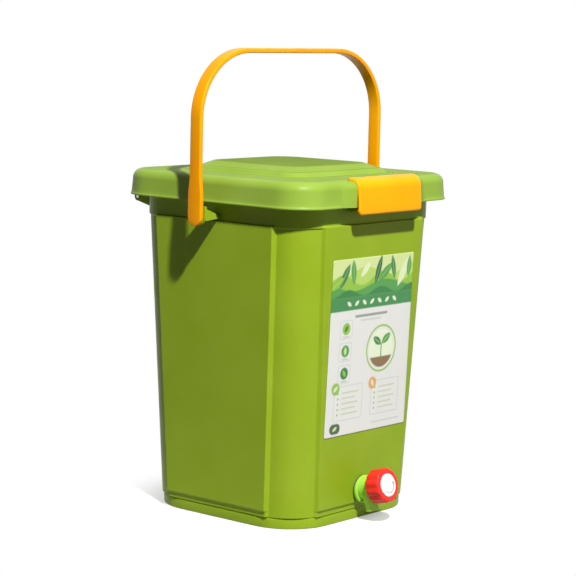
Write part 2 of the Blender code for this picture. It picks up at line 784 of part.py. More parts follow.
def make_latch(material):
    """The latch: a folded plate with a hinge barrel on top and a hooked lip below."""
    latch = prism("front_latch", latch_outline(), -LATCH_HALF, LATCH_HALF, "X", PARTS)
    axis = latch_axis_z()
    join(latch, rod(
        "latch_barrel", LATCH_BARREL, (-LATCH_HALF + OVERLAP, -LATCH_AXIS_Y, axis),
        (LATCH_HALF - OVERLAP, -LATCH_AXIS_Y, axis), CUTTERS, SMALL_STEPS))
    reach = LATCH_BARREL + LATCH_PLAY
    for side in (-1, 1):
        middle = side * LATCH_LUG_X
        width = LATCH_LUG_HALF + LATCH_PLAY
        cut(latch, box(
            f"lug_gap_{side}", (middle - width, -LATCH_AXIS_Y - reach, axis - reach),
            (middle + width, -LATCH_AXIS_Y + reach, axis + reach), CUTTERS))
    cut(latch, rod(
        "latch_pin_hole", LATCH_PIN_RADIUS + PIN_FIT,
        (-LATCH_HALF - OVERRUN, -LATCH_AXIS_Y, axis), (LATCH_HALF + OVERRUN, -LATCH_AXIS_Y, axis),
        CUTTERS, SMALL_STEPS))
    for side in (-1, 1):
        cut(latch, latch_corner_cutter(side))
        ends = sorted((side * (CATCH_HALF + LATCH_PLAY), side * (LATCH_HALF + OVERRUN)))
        cut(latch, box(
            f"lip_end_{side}", (ends[0], -LATCH_FACE_Y + LATCH_WALL, LATCH_BOTTOM - OVERRUN),
            (ends[1], -BAND_HALF, LATCH_BOTTOM + LATCH_WALL + LATCH_PLAY), CUTTERS))
    return finish(latch, material)


def latch_corner_cutter(side):
    """Rounds a lower corner of the latch's face."""
    edge = LATCH_HALF - LATCH_CORNER
    outline = []
    for step in range(LATCH_FOLD_STEPS + 1):
        angle = math.pi / 2 * step / LATCH_FOLD_STEPS
        outline.append((
            side * (edge + LATCH_CORNER * math.sin(angle)),
            LATCH_BOTTOM + LATCH_CORNER - LATCH_CORNER * math.cos(angle)))
    outline += [
        (side * (LATCH_HALF + OVERRUN), LATCH_BOTTOM + LATCH_CORNER),
        (side * (LATCH_HALF + OVERRUN), LATCH_BOTTOM - OVERRUN),
        (side * edge, LATCH_BOTTOM - OVERRUN)]
    return prism(
        f"latch_corner_{side}", outline, -LATCH_FACE_Y - LATCH_FOLD, -BAND_HALF, "Y", CUTTERS)


def make_latch_pin(material):
    pin = rod(
        "latch_hinge_pin", LATCH_PIN_RADIUS, (-LATCH_HALF + GAP, -LATCH_AXIS_Y, latch_axis_z()),
        (LATCH_HALF - GAP, -LATCH_AXIS_Y, latch_axis_z()), PARTS, SMALL_STEPS)
    return finish(pin, material)


def strap_section(point, normal, half_width):
    """The strap's section across its path: a flat bar with trimmed edges."""
    half_thick = STRAP_THICK / 2
    trim = STRAP_ROUND
    corners = (
        (-half_thick, half_width - trim), (-half_thick, -half_width + trim),
        (-half_thick + trim, -half_width), (half_thick - trim, -half_width),
        (half_thick, -half_width + trim), (half_thick, half_width - trim),
        (half_thick - trim, half_width), (-half_thick + trim, half_width))
    across = Vector((0, 1, 0))
    return [point + normal * a + across * b for a, b in corners]


def handle_path():
    """Points, normals and half widths along one half of the handle, from leg to middle."""
    centre_half = HANDLE_HALF - STRAP_THICK / 2
    centre_top = HANDLE_TOP - STRAP_THICK / 2
    wide, high = HANDLE_CORNER_WIDE, HANDLE_CORNER_HIGH
    half_width = STRAP_WIDTH / 2
    wide_top = PIVOT_Z + (centre_top - high - PIVOT_Z) * LEG_WIDE_SHARE
    straight = ((PIVOT_Z, EYE_RADIUS), (wide_top, EYE_RADIUS),
                (wide_top + LEG_WIDE_FADE, half_width))
    path = [(Vector((-centre_half, 0, z)), Vector((-1, 0, 0)), width) for z, width in straight]
    for step in range(HANDLE_CORNER_STEPS + 1):
        angle = math.pi / 2 * step / HANDLE_CORNER_STEPS
        point = Vector((
            -centre_half + wide * (1 - math.cos(angle)), 0,
            centre_top - high * (1 - math.sin(angle))))
        normal = Vector((-math.cos(angle) * high, 0, math.sin(angle) * wide)).normalized()
        path.append((point, normal, half_width))
    return path


def make_handle(material):
    """The carrying handle: a flat strap bent over the lid, with an eye and peg at each end."""
    half = handle_path()
    mirrored = [
        (Vector((-point.x, 0, point.z)), Vector((-normal.x, 0, normal.z)), width)
        for point, normal, width in reversed(half)]
    rings = [strap_section(*place) for place in half + mirrored]
    handle = loft("handle", rings, PARTS)
    head_far = EAR_PLATE_X - EAR_PLATE_THICK - GAP
    for side, label in ((-1, "left"), (1, "right")):
        outer = side * HANDLE_HALF
        inner = side * (HANDLE_HALF - EYE_THICK)
        head = side * (head_far - PEG_HEAD_THICK)
        join(handle, rod(
            f"eye_{label}", EYE_RADIUS, (inner, 0, PIVOT_Z), (outer, 0, PIVOT_Z), CUTTERS))
        join(handle, rod(
            f"peg_{label}", PEG_RADIUS, (head + side * OVERLAP, 0, PIVOT_Z),
            (outer - side * STRAP_THICK / 2, 0, PIVOT_Z), CUTTERS, SMALL_STEPS))
        join(handle, rod(
            f"peg_head_{label}", PEG_HEAD_RADIUS, (head, 0, PIVOT_Z),
            (side * head_far, 0, PIVOT_Z), CUTTERS, SMALL_STEPS))
    return finish(handle, material)


def strainer_half(z):
    """Half width of the strainer where it passes the pillars at height z."""
    return body_half(z) - WALL - STRAINER_CLEARANCE


def strainer_holes():
    """All drain holes as one cutter, in a square grid around the lift ring."""
    bm = bmesh.new()
    middle = (HOLES_ACROSS - 1) / 2
    for column in range(HOLES_ACROSS):
        for row in range(HOLES_ACROSS):
            x, y = (column - middle) * HOLE_PITCH, (row - middle) * HOLE_PITCH
            under_ring = abs(x) < LIFT_RING_WIDTH / 2 and abs(y) < LIFT_RING_DEPTH
            on_leg = abs(abs(x) - LEG_PLACE) < LEG_RADIUS and abs(abs(y) - LEG_PLACE) < LEG_RADIUS
            if under_ring or on_leg:
                continue
            place = Matrix.Translation((x, y, STRAINER_TOP - STRAINER_THICK / 2))
            bmesh.ops.create_cone(
                bm, cap_ends=True, segments=HOLE_SIDES, radius1=HOLE_RADIUS,
                radius2=HOLE_RADIUS, depth=STRAINER_THICK + 2 * OVERRUN, matrix=place)
    return mesh_object("strainer_holes", bm, CUTTERS)


def make_strainer(material):
    """The strainer plate: a shallow tray with holes, four legs and a lift ring."""
    under = STRAINER_TOP - STRAINER_THICK
    skirt_low = under - STRAINER_SKIRT
    half = strainer_half(skirt_low)
    corner = body_corner(skirt_low) - WALL - STRAINER_CLEARANCE
    levels = (
        (half - STRAINER_THICK, under), (half - STRAINER_THICK, skirt_low),
        (half, skirt_low), (half, STRAINER_TOP))
    rings = [rounded_square(width, corner + width - half, z) for width, z in levels]
    strainer = loft("strainer_plate", rings, PARTS)
    cut(strainer, strainer_holes())
    for x in (-LEG_PLACE, LEG_PLACE):
        for y in (-LEG_PLACE, LEG_PLACE):
            join(strainer, rod(
                f"leg_{x > 0}_{y > 0}", LEG_RADIUS - LEG_TAPER, (x, y, FLOOR_TOP + GAP),
                (x, y, under + STRAINER_THICK / 2), CUTTERS, SMALL_STEPS, LEG_RADIUS))
    half_ring = LIFT_RING_WIDTH / 2
    outline = [(half_ring, STRAINER_TOP - STRAINER_THICK / 2)]
    arch_z = STRAINER_TOP + LIFT_RING_HEIGHT - half_ring
    for step in range(SMALL_STEPS + 1):
        angle = math.pi * step / SMALL_STEPS
        outline.append((half_ring * math.cos(angle), arch_z + half_ring * math.sin(angle)))
    outline.append((-half_ring, STRAINER_TOP - STRAINER_THICK / 2))
    inner = half_ring - LIFT_RING_THICK
    for step in range(SMALL_STEPS + 1):
        angle = math.pi * (1 - step / SMALL_STEPS)
        outline.append((inner * math.cos(angle), arch_z + inner * math.sin(angle)))
    outline[-SMALL_STEPS - 1:-SMALL_STEPS - 1] = [(-inner, STRAINER_TOP - STRAINER_THICK / 2)]
    outline.append((inner, STRAINER_TOP - STRAINER_THICK / 2))
    join(strainer, prism(
        "lift_ring", outline, -LIFT_RING_DEPTH / 2, LIFT_RING_DEPTH / 2, "Y", CUTTERS))
    return finish(strainer, material)


def washer_profile(inner, outer, low, high):
    """A flat ring's section, down the outer side and back up the inner one."""
    return ((inner, high), (outer, high), (outer, low), (inner, low))


def flange_back():
    """Height of the tap flange's back face above the wall."""
    return WASHER_THICK + 2 * GAP


def spout_direction():
    """Downward, square to the valve's axis."""
    tilt = math.radians(VALVE_TILT_DEGREES)
    return Vector((0, -math.sin(tilt), -math.cos(tilt)))


def tap_spout(root, mouth):
    """The spout's outside: an oval funnel below the barrel that narrows to a round mouth."""
    across = Vector((1, 0, 0))
    along_valve = spout_direction().cross(across)
    rings = []
    for share, wide, deep in (
            (0, SPOUT_ROOT_HALF, SPOUT_ROOT_RADIUS),
            (SPOUT_FUNNEL_SHARE, SPOUT_MOUTH_RADIUS, SPOUT_MOUTH_RADIUS),
            (1, SPOUT_MOUTH_RADIUS, SPOUT_MOUTH_RADIUS)):
        middle = root.lerp(mouth, share)
        rings.append([
            middle + across * wide * math.cos(math.tau * step / ROUND_STEPS)
            + along_valve * deep * math.sin(math.tau * step / ROUND_STEPS)
            for step in range(ROUND_STEPS)])
    return loft("tap_spout", rings, CUTTERS)


def make_tap_body(material):
    """The tap's moulding: flange and threaded tail, tilted barrel and spout, all bored."""
    wall, valve = wall_frame(), valve_frame()
    back = flange_back()
    front = back + FLANGE_THICK
    profile = (
        (0, front), (FLANGE_RADIUS - FLANGE_EDGE, front), (FLANGE_RADIUS, front - FLANGE_EDGE),
        (FLANGE_RADIUS, back), (TAIL_RADIUS, back), (TAIL_RADIUS, -TAIL_LENGTH),
        (0, -TAIL_LENGTH))
    body = turned("tap_body", profile, wall, PARTS)
    barrel = rod("tap_barrel", BARREL_RADIUS, along(valve, -FLANGE_THICK),
                 along(valve, BARREL_LENGTH), CUTTERS)
    root = along(valve, SPOUT_FROM_WALL)
    mouth = root + spout_direction() * SPOUT_DROP
    join(barrel, tap_spout(root, mouth))
    cut(barrel, rod("behind_flange", FLANGE_RADIUS * 2, along(wall, -FLANGE_RADIUS),
                    along(wall, back + FLANGE_THICK / 2), CUTTERS))
    join(body, barrel)
    cut(body, rod("valve_bore", VALVE_BORE, along(valve, SEAT_DEPTH),
                  along(valve, BARREL_LENGTH + OVERRUN), CUTTERS))
    cut(body, rod("inlet_bore", TAIL_BORE, along(wall, -TAIL_LENGTH - OVERRUN),
                  along(wall, SEAT_DEPTH + OVERRUN), CUTTERS, SMALL_STEPS))
    cut(body, rod("spout_bore", SPOUT_BORE, root, mouth + spout_direction() * OVERRUN,
                  CUTTERS, SMALL_STEPS))
    return finish(body, material)


def make_tap_seals(material):
    """The rubber washers on both sides of the bucket's wall."""
    wall = wall_frame()
    inner = TAIL_RADIUS + GAP
    outside = turned(
        "tap_outer_washer", washer_profile(inner, WASHER_RADIUS, GAP, GAP + WASHER_THICK),
        wall, PARTS)
    low = -WALL - GAP - WASHER_THICK
    inside = turned(
        "tap_inner_washer", washer_profile(inner, NUT_RADIUS, low, low + WASHER_THICK),
        wall, PARTS)
    finish(outside, material)
    finish(inside, material)


def make_lock_nut(material):
    """The hexagonal nut on the tail, with a round collar against the washer."""
    wall = wall_frame()
    top = -WALL - 2 * GAP - WASHER_THICK
    nut = rod("tap_lock_nut", NUT_RADIUS, along(wall, top - NUT_THICK), along(wall, top - NUT_COLLAR),
              PARTS, NUT_SIDES)
    join(nut, rod("nut_collar", NUT_RADIUS - NUT_COLLAR / 2, along(wall, top - NUT_COLLAR * 2),
                  along(wall, top), CUTTERS))
    cut(nut, rod("nut_bore", TAIL_RADIUS + GAP, along(wall, top - NUT_THICK - OVERRUN),
                 along(wall, top + OVERRUN), CUTTERS))
    return finish(nut, material)


def make_bonnet(material):
    """The ring that closes the barrel round the stem and holds its O-ring."""
    low = BARREL_LENGTH - BONNET_NECK
    shoulder = BARREL_LENGTH + GAP
    top = shoulder + BONNET_THICK
    bore = STEM_RADIUS + GAP
    seat = bore + 2 * O_RING_RADIUS + GAP
    profile = (
        (bore, top), (BONNET_RADIUS, top), (BONNET_RADIUS, shoulder),
        (VALVE_BORE - GAP, shoulder), (VALVE_BORE - GAP, low), (seat, low),
        (seat, shoulder), (bore, shoulder))
    return finish(turned("tap_bonnet", profile, valve_frame(), PARTS), material)


def make_o_ring(material):
    """The stem's O-ring, in the bonnet's counterbore."""
    height = BARREL_LENGTH + GAP - O_RING_RADIUS - GAP
    centre = STEM_RADIUS + GAP + O_RING_RADIUS
    sides = HOLE_SIDES
    profile = [
        (centre + O_RING_RADIUS * math.sin(math.tau * step / sides),
         height + O_RING_RADIUS * math.cos(math.tau * step / sides))
        for step in range(sides)]
    return finish(turned("tap_stem_o_ring", profile, valve_frame(), PARTS), material)


def plunger_top():
    return SEAT_DEPTH + GAP + PLUNGER_THICK


def make_plunger(material):
    """The rubber valve disc that closes the inlet."""
    top = plunger_top()
    low = top - PLUNGER_THICK
    profile = (
        (0, top), (PLUNGER_RADIUS, top), (PLUNGER_RADIUS, low + GAP),
        (PLUNGER_RADIUS - GAP, low), (0, low))
    return finish(turned("tap_valve_washer", profile, valve_frame(), PARTS), material)


def pocket_floor():
    """Height of the knob's screw pocket above the wall."""
    return KNOB_FRONT - DISC_THICK - SCREW_POCKET_DEPTH


def stem_end():
    return pocket_floor() - KNOB_WALL - GAP


def make_stem(material):
    """The valve stem, bored at its outer end for the knob's screw."""
    valve = valve_frame()
    top = stem_end()
    low = plunger_top() + GAP
    profile = ((0, top), (STEM_RADIUS, top), (STEM_RADIUS, low), (0, low))
    stem = turned("tap_stem", profile, valve, PARTS, SMALL_STEPS)
    cut(stem, rod("stem_screw_hole", SCREW_RADIUS + GAP, along(valve, top - SCREW_LENGTH),
                  along(valve, top + OVERRUN), CUTTERS, HOLE_SIDES))
    return finish(stem, material)


def knob_flutes():
    """Grooves round the knob's rim, as one cutter."""
    bm = bmesh.new()
    frame = valve_frame()
    middle = KNOB_FRONT - KNOB_LENGTH / 2
    place_radius = KNOB_RADIUS + KNOB_FLUTE_RADIUS - KNOB_FLUTE_DEPTH
    for index in range(KNOB_FLUTES):
        turn = Matrix.Rotation(math.tau * index / KNOB_FLUTES, 4, "Z")
        place = frame @ turn @ Matrix.Translation((place_radius, 0, middle))
        bmesh.ops.create_cone(
            bm, cap_ends=True, segments=SMALL_STEPS, radius1=KNOB_FLUTE_RADIUS,
            radius2=KNOB_FLUTE_RADIUS, depth=KNOB_LENGTH - 2 * KNOB_EDGE, matrix=place)
    return mesh_object("knob_flutes", bm, CUTTERS)


def make_knob(material):
    """The tap's knob: a fluted cup with a hub on the stem and a seat for its cap."""
    front = KNOB_FRONT
    back = front - KNOB_LENGTH
    ledge = front - DISC_THICK
    floor = pocket_floor()
    inside = floor - KNOB_WALL
    hub_back = BARREL_LENGTH + GAP + BONNET_THICK + HUB_GAP
    disc_seat = DISC_RADIUS + GAP
    profile = (
        (SCREW_RADIUS + GAP, floor), (SCREW_POCKET_RADIUS, floor), (SCREW_POCKET_RADIUS, ledge),
        (disc_seat, ledge), (disc_seat, front), (KNOB_RADIUS - KNOB_EDGE, front),
        (KNOB_RADIUS, front - KNOB_EDGE), (KNOB_RADIUS, back + KNOB_EDGE / 2),
        (KNOB_RADIUS - KNOB_EDGE / 2, back),
        (KNOB_RADIUS - KNOB_WALL - KNOB_FLUTE_DEPTH, back),
        (KNOB_RADIUS - KNOB_WALL - KNOB_FLUTE_DEPTH, inside), (KNOB_HUB_RADIUS, inside),
        (KNOB_HUB_RADIUS, hub_back), (STEM_RADIUS + GAP, hub_back), (STEM_RADIUS + GAP, inside),
        (SCREW_RADIUS + GAP, inside))
    knob = turned("tap_knob", profile, valve_frame(), PARTS, KNOB_FLUTES * 3)
    cut(knob, knob_flutes())
    return finish(knob, material)


def make_knob_disc(material):
    """The slightly domed cap that covers the knob's screw."""
    low = KNOB_FRONT - DISC_THICK + GAP
    top = low + DISC_THICK
    profile = (
        (0, top + GAP), (DISC_RADIUS / 2, top + GAP / 2), (DISC_RADIUS - GAP, top),
        (DISC_RADIUS, top - GAP), (DISC_RADIUS, low), (0, low))
    return finish(turned("tap_knob_disc", profile, valve_frame(), PARTS), material)


def make_knob_screw(material):
    """The screw that holds the knob on the stem."""
    low = pocket_floor() + GAP
    top = low + SCREW_HEAD_THICK
    tip = stem_end() - SCREW_LENGTH + GAP
    profile = (
        (0, top), (SCREW_HEAD_RADIUS - GAP, top), (SCREW_HEAD_RADIUS, top - GAP),
        (SCREW_HEAD_RADIUS, low), (SCREW_RADIUS, low), (SCREW_RADIUS, tip), (0, tip))
    return finish(turned("tap_knob_screw", profile, valve_frame(), PARTS, SMALL_STEPS), material)


def make_label(material):
    """The label: a thin sheet that lies on the drafted front panel."""
    rings = []
    for z in (LABEL_BOTTOM, LABEL_TOP):
        back = -panel_face(z) - GAP
        front = back - LABEL_THICK
        half = LABEL_HALF_WIDTH
        rings.append([
            Vector((-half, front, z)), Vector((half, front, z)),
            Vector((half, back, z)), Vector((-half, back, z))])
    return finish(loft("front_label", rings, PARTS), material)


def make_all():
    """Build every piece of the bin."""
    green = plastic("bucket_green", (0.35, 0.49, 0.05))
    lid_green = plastic("lid_green", (0.31, 0.52, 0.09))
    orange = plastic("handle_orange", (1.0, 0.38, 0.0))
    yellow = plastic("latch_yellow", (1.0, 0.49, 0.0))
    tap_green = plastic("tap_green", (0.38, 0.8, 0.07))
    red = plastic("knob_red", (0.91, 0.04, 0.03))
    white = plastic("disc_white", (0.85, 0.85, 0.85))
    paper = plastic("label_paper", (0.85, 0.86, 0.82), 0.5)
    rubber = plastic("rubber_grey", (0.2, 0.2, 0.2), 0.7)
    pale = plastic("strainer_pale", (0.75, 0.78, 0.7))
    steel = plastic("steel", (0.6, 0.6, 0.6), 0.3, 1.0)
    make_bucket(green)
    make_strainer(pale)
    make_lid(lid_green)
    make_seal(rubber)
    make_hinge_pin(steel)
    make_latch(yellow)
    make_latch_pin(steel)
    make_handle(orange)
    make_tap_body(tap_green)
    make_tap_seals(rubber)
    make_lock_nut(tap_green)
    make_bonnet(tap_green)
    make_o_ring(rubber)
    make_plunger(rubber)
    make_stem(white)
    make_knob(red)
    make_knob_disc(white)
    make_knob_screw(steel)
    make_label(paper)


make_all()
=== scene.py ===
# %% [markdown]
# A bokashi bin stands in sunlight. It is a green polypropylene bucket with raised side panels,
# a lighter green lid, an orange strap handle, a yellow latch, a tap with a red knob and a paper label.
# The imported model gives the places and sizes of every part. This script puts finer surfaces and real
# finishes on it, and each piece rides on the body that moves it.

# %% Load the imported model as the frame
import math

import bmesh
import bpy
import numpy as np
from mathutils import Matrix, Vector


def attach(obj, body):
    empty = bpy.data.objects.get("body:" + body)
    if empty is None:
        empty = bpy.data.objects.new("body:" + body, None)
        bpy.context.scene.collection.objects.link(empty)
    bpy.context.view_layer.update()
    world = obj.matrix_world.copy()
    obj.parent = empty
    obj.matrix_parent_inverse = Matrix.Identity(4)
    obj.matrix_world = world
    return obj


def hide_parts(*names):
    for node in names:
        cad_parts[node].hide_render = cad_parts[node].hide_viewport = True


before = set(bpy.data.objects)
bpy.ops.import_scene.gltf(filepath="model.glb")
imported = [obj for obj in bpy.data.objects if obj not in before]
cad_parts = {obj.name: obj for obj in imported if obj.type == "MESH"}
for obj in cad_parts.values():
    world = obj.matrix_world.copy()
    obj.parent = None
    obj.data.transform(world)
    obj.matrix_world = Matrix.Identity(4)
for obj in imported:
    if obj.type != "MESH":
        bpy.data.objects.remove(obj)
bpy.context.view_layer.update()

MM = 0.001

# %% [markdown]
# The photograph was taken from the left of the front, a little above the lid, with a long lens. The
# camera was worked out from the bin's own edges, so its angles and distance are numbers, not guesses.
# It leans by just over a degree, which is why the upright corners look slightly turned.

# %% Camera at the photograph's angle
AZIMUTH_DEGREES = -49.731
ELEVATION_DEGREES = 7.357
ROLL_DEGREES = 1.321
CAMERA_PLACE = Vector((-1886.7, -1600.75, 580.72)) * MM
LENS = 129.986
FAR_CLIP = 50

azimuth, elevation = math.radians(AZIMUTH_DEGREES), math.radians(ELEVATION_DEGREES)
backward = Vector((
    math.sin(azimuth) * math.cos(elevation), -math.cos(azimuth) * math.cos(elevation),
    math.sin(elevation)))
level = Vector((math.cos(azimuth), math.sin(azimuth), 0))
turned_back = Matrix((level, backward.cross(level), backward)).transposed()
camera = bpy.data.objects.new("camera", bpy.data.cameras.new("camera"))
bpy.context.scene.collection.objects.link(camera)
camera.data.lens = LENS
camera.data.clip_end = FAR_CLIP
camera.matrix_world = Matrix.Translation(CAMERA_PLACE) @ (
    turned_back @ Matrix.Rotation(math.radians(ROLL_DEGREES), 3, "Z")).to_4x4()
bpy.context.scene.camera = camera
bpy.context.scene.view_settings.view_transform = "Standard"
print("camera at", [round(value, 3) for value in camera.location], "lens", LENS)

# %% [markdown]
# Every new surface here is a grid of points worked out in numpy: rows run one way over the piece and
# columns the other. One function turns such a grid into a mesh. It can close the grid round its
# columns, as on a tube, and round its rows, as on a ring, and it fills an open end with one face.

# %% From a grid of points to a mesh
SHARP_DEGREES = 38
WELD = 0.004 * MM


def link_mesh(name, points, faces, shade_and_rough=None):
    """An object from points and faces, welded, with its faces turned outwards."""
    mesh = bpy.data.meshes.new(name)
    mesh.from_pydata(np.asarray(points).reshape(-1, 3).tolist(), [], faces)
    # Optional values on the points: how much the colour is darkened as painted shade, and the roughness
    # raised.
    if shade_and_rough is not None:
        mesh.attributes.new("shade_and_rough", "FLOAT", "POINT").data.foreach_set("value", shade_and_rough)
    work = bmesh.new()
    work.from_mesh(mesh)
    bmesh.ops.remove_doubles(work, verts=work.verts, dist=WELD)
    bmesh.ops.dissolve_degenerate(work, edges=work.edges, dist=WELD)
    bmesh.ops.recalc_face_normals(work, faces=work.faces)
    work.to_mesh(mesh)
    work.free()
    mesh.shade_smooth()
    mesh.set_sharp_from_angle(angle=math.radians(SHARP_DEGREES))
    piece = bpy.data.objects.new(name, mesh)
    bpy.context.scene.collection.objects.link(piece)
    return piece


def grid_faces(rows, columns, around, ring, first=0):
    """Quads between neighbours of a grid, and the caps of its open ends."""
    index = np.arange(rows * columns).reshape(rows, columns) + first
    if around:
        index = np.concatenate([index, index[:, :1]], axis=1)
    if ring:
        index = np.concatenate([index, index[:1]], axis=0)
    quads = np.stack([index[:-1, :-1], index[:-1, 1:], index[1:, 1:], index[1:, :-1]], axis=-1)
    faces = quads.reshape(-1, 4).tolist()
    if around and not ring:
        faces.append(index[0, :columns][::-1].tolist())
        faces.append(index[-1, :columns].tolist())
    return faces


def surface(name, grid, around=True, ring=False, shade_and_rough=None):
    """One piece from one grid of shape rows, columns, 3. The last argument holds one value for each row:
    painted shade that darkens the colour, and added roughness.
    """
    shade_and_rough = None if shade_and_rough is None else np.repeat(shade_and_rough, grid.shape[1]).astype(np.float32)
    return link_mesh(name, grid, grid_faces(*grid.shape[:2], around, ring), shade_and_rough)


def surfaces(name, grids, around=True, ring=False):
    """One piece from several separate grids."""
    points, faces, first = [], [], 0
    for grid in grids:
        points.append(grid.reshape(-1, 3))
        faces += grid_faces(*grid.shape[:2], around, ring, first)
        first += grid.shape[0] * grid.shape[1]
    return link_mesh(name, np.concatenate(points), faces)


def tidy_edges(piece, width, segments=3, degrees=40):
    """A Bevel that rounds the sharp edges of a piece, as a mould does."""
    bevel = piece.modifiers.new("rounded edges", "BEVEL")
    bevel.width = width
    bevel.segments = segments
    bevel.limit_method = "ANGLE"
    bevel.angle_limit = math.radians(degrees)
    bevel.harden_normals = True
    return piece


def seat(piece, body, material, slot, *nodes):
    """Put the piece on its body, give it its finish and hide the CAD nodes it stands for."""
    piece.data.materials.clear()
    piece.data.materials.append(material)
    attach(piece, body)
    if nodes:
        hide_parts(*nodes)
    print(f"{piece.name}: {len(piece.data.polygons)} faces")
    return piece


def mould(name, grids, home, edge=0.0, ring=False):
    """A piece from separate grids, with its edges rounded by so many mm, seated in its home."""
    piece = surfaces(name, grids, ring=ring)
    if edge:
        tidy_edges(piece, edge * MM)
    return seat(piece, *home)


# %% [markdown]
# A colour is written as its sRGB hex value and turned to linear light once, here. One small function
# adds a shader node with its settings and links, so that each finish below reads as a list of steps.

# %% Colours and nodes
SRGB_KNEE = 0.04045
METRE = 1.0


def linear(code):
    """Linear red, green, blue and alpha of an sRGB hex colour."""
    shares = [int(code[at:at + 2], 16) / 255 for at in (1, 3, 5)]
    return (*[c / 12.92 if c <= SRGB_KNEE else ((c + 0.055) / 1.055) ** 2.4 for c in shares], 1)


def add(material, kind, inputs=(), **settings):
    """A shader node. Inputs map a socket's name or number to a value or to another socket."""
    tree = material.node_tree
    made = tree.nodes.new("ShaderNode" + kind)
    for key, value in settings.items():
        setattr(made, key, value)
    for key, value in dict(inputs).items():
        if isinstance(value, bpy.types.NodeSocket):
            tree.links.new(value, made.inputs[key])
        else:
            made.inputs[key].default_value = value
    return made


def ramp(material, factor, stops):
    """A colour ramp through stops of place and colour."""
    made = add(material, "ValToRGB", {0: factor})
    band = made.color_ramp
    while len(band.elements) < len(stops):
        band.elements.new(1)
    for element, (place, colour) in zip(band.elements, stops):
        element.position = place
        element.color = colour
    return made.outputs[0]


def wire(material, shader, **values):
    """Link outputs to the shader's sockets: base_color stands for Base Color, and so on."""
    for key, value in values.items():
        material.node_tree.links.new(value, shader.inputs[key.replace("_", " ").title()])


def noise(material, place, size, detail=2):
    """Noise whose clouds are about as large as the given size."""
    scale = METRE / size
    return add(material, "TexNoise", {"Vector": place, "Scale": scale, "Detail": detail}).outputs["Fac"]


def spread(material, value, low, high, start=0, end=1):
    """The value's range from start to end carried over to the one from low to high."""
    return add(material, "MapRange", {
        "Value": value, "From Min": start, "From Max": end, "To Min": low, "To Max": high}).outputs[0]


def bumped(material, height, strength, depth):
    """A normal bent by a height of the given depth."""
    return add(material, "Bump", {"Height": height, "Strength": strength, "Distance": depth}).outputs[0]


def new_material(name):
    """A material with its Principled shader and its object coordinates."""
    material = bpy.data.materials.new(name)
    material.use_nodes = True
    shader = material.node_tree.nodes["Principled BSDF"]
    place = add(material, "TexCoord").outputs["Object"]
    return material, shader, place


# %% [markdown]
# Nearly all of the bin is injection moulded polypropylene. The mould leaves a fine satin grain, the
# pigment is never quite even, and flow from the gate leaves broad soft clouds. So each plastic has
# three layers: broad clouds in the colour, small clouds in the roughness, and the grain as bump.

# %% Moulded polypropylene
CLOUD_SIZE = 70 * MM
SMUDGE_SIZE = 22 * MM
GRAIN_SIZE, GRAIN_DEPTH = 1.1 * MM, 0.3 * MM
PLASTIC_IOR = 1.49
PLASTIC_SPECULAR = 0.16


def moulded(name, shades, rough=(0.34, 0.46), grain_bump=0.05):
    """A moulded plastic from a dark, a middle and a light hex shade."""
    material, shader, place = new_material(name)
    cloud = noise(material, place, CLOUD_SIZE, 3)
    dark, middle, light = [linear(code) for code in shades]
    tint = ramp(material, cloud, ((0.3, dark), (0.52, middle), (0.72, light)))
    gloss = spread(material, noise(material, place, SMUDGE_SIZE, 4), *rough, 0.3, 0.7)
    bump = bumped(material, noise(material, place, GRAIN_SIZE), grain_bump, GRAIN_DEPTH)
    wire(material, shader, base_color=tint, roughness=gloss, normal=bump)
    shader.inputs["IOR"].default_value = PLASTIC_IOR
    shader.inputs["Specular IOR Level"].default_value = PLASTIC_SPECULAR
    return material


def shade_and_roughen(material):
    """Painted shade: where a surface's points carry the value, the colour is darkened by it and the roughness
    is raised by it.
    """
    shade_and_rough = add(material, "Attribute", attribute_name="shade_and_rough").outputs["Fac"]
    keep = add(material, "Math", {0: 1, 1: shade_and_rough}, operation="SUBTRACT")
    shader = material.node_tree.nodes["Principled BSDF"]
    colour, rough = [shader.inputs[key].links[0].from_socket for key in ("Base Color", "Roughness")]
    dimmed = add(material, "VectorMath", {0: colour, "Scale": keep.outputs[0]}, operation="SCALE")
    rougher = add(material, "Math", {0: shade_and_rough, 1: rough}, operation="ADD")
    wire(material, shader, base_color=dimmed.outputs["Vector"], roughness=rougher.outputs[0])


bucket_plastic = moulded("polypropylene moulded leaf green", ("#8FAA1F", "#93AD24", "#97B12A"))
lid_plastic = moulded("polypropylene moulded apple green", ("#8AA838", "#8FAD3E", "#94B245"),
                      (0.36, 0.43))
# Painted shade on the lid: its flats and creases are darkened, and made rougher.
shade_and_roughen(lid_plastic)
handle_plastic = moulded("polypropylene moulded orange", ("#FF9E00", "#FFA600", "#FFAC08"), (0.3, 0.42))
latch_plastic = moulded("polypropylene moulded amber", ("#FDAB00", "#FFB100", "#FFB806"), (0.3, 0.42))
tap_plastic = moulded("polypropylene moulded bright green", ("#A4DE46", "#AEE552", "#B8EC60"), (0.26, 0.36))
knob_plastic = moulded("ABS moulded red", ("#EC2C22", "#F5352B", "#F94237"), (0.22, 0.32), 0.03)
cap_plastic = moulded("ABS moulded white", ("#ECECEA", "#F3F3F1", "#F8F8F6"), (0.2, 0.28), 0.02)
strainer_plastic = moulded("polypropylene moulded pale green", ("#D8DEC8", "#E0E5D2", "#E8ECDD"))
BUCKET = "bucket_body", bucket_plastic, "bucket_green"
LID = "lid_body", lid_plastic, "lid_green"
LATCH = "latch_body", latch_plastic, "latch_yellow"
HANDLE = "handle_body", handle_plastic, "handle_orange"
TAP = "bucket_body", tap_plastic, "tap_green"

# %% [markdown]
# The bucket is one moulding: a square tub with wide round corners that opens by two degrees a side, so
# that it slides off its mould. Each side has a raised panel, and the corners read as pillars between
# the panels. It is made as one closed skin. The skin starts at the middle of the underside, climbs the
# outside, turns in at the rim and goes down the inside to the middle of the floor.
#
# A row is the outline at one height. A column keeps its place beside the panel's edge all the way up,
# so that the edge stays crisp although the panel widens with the tub.

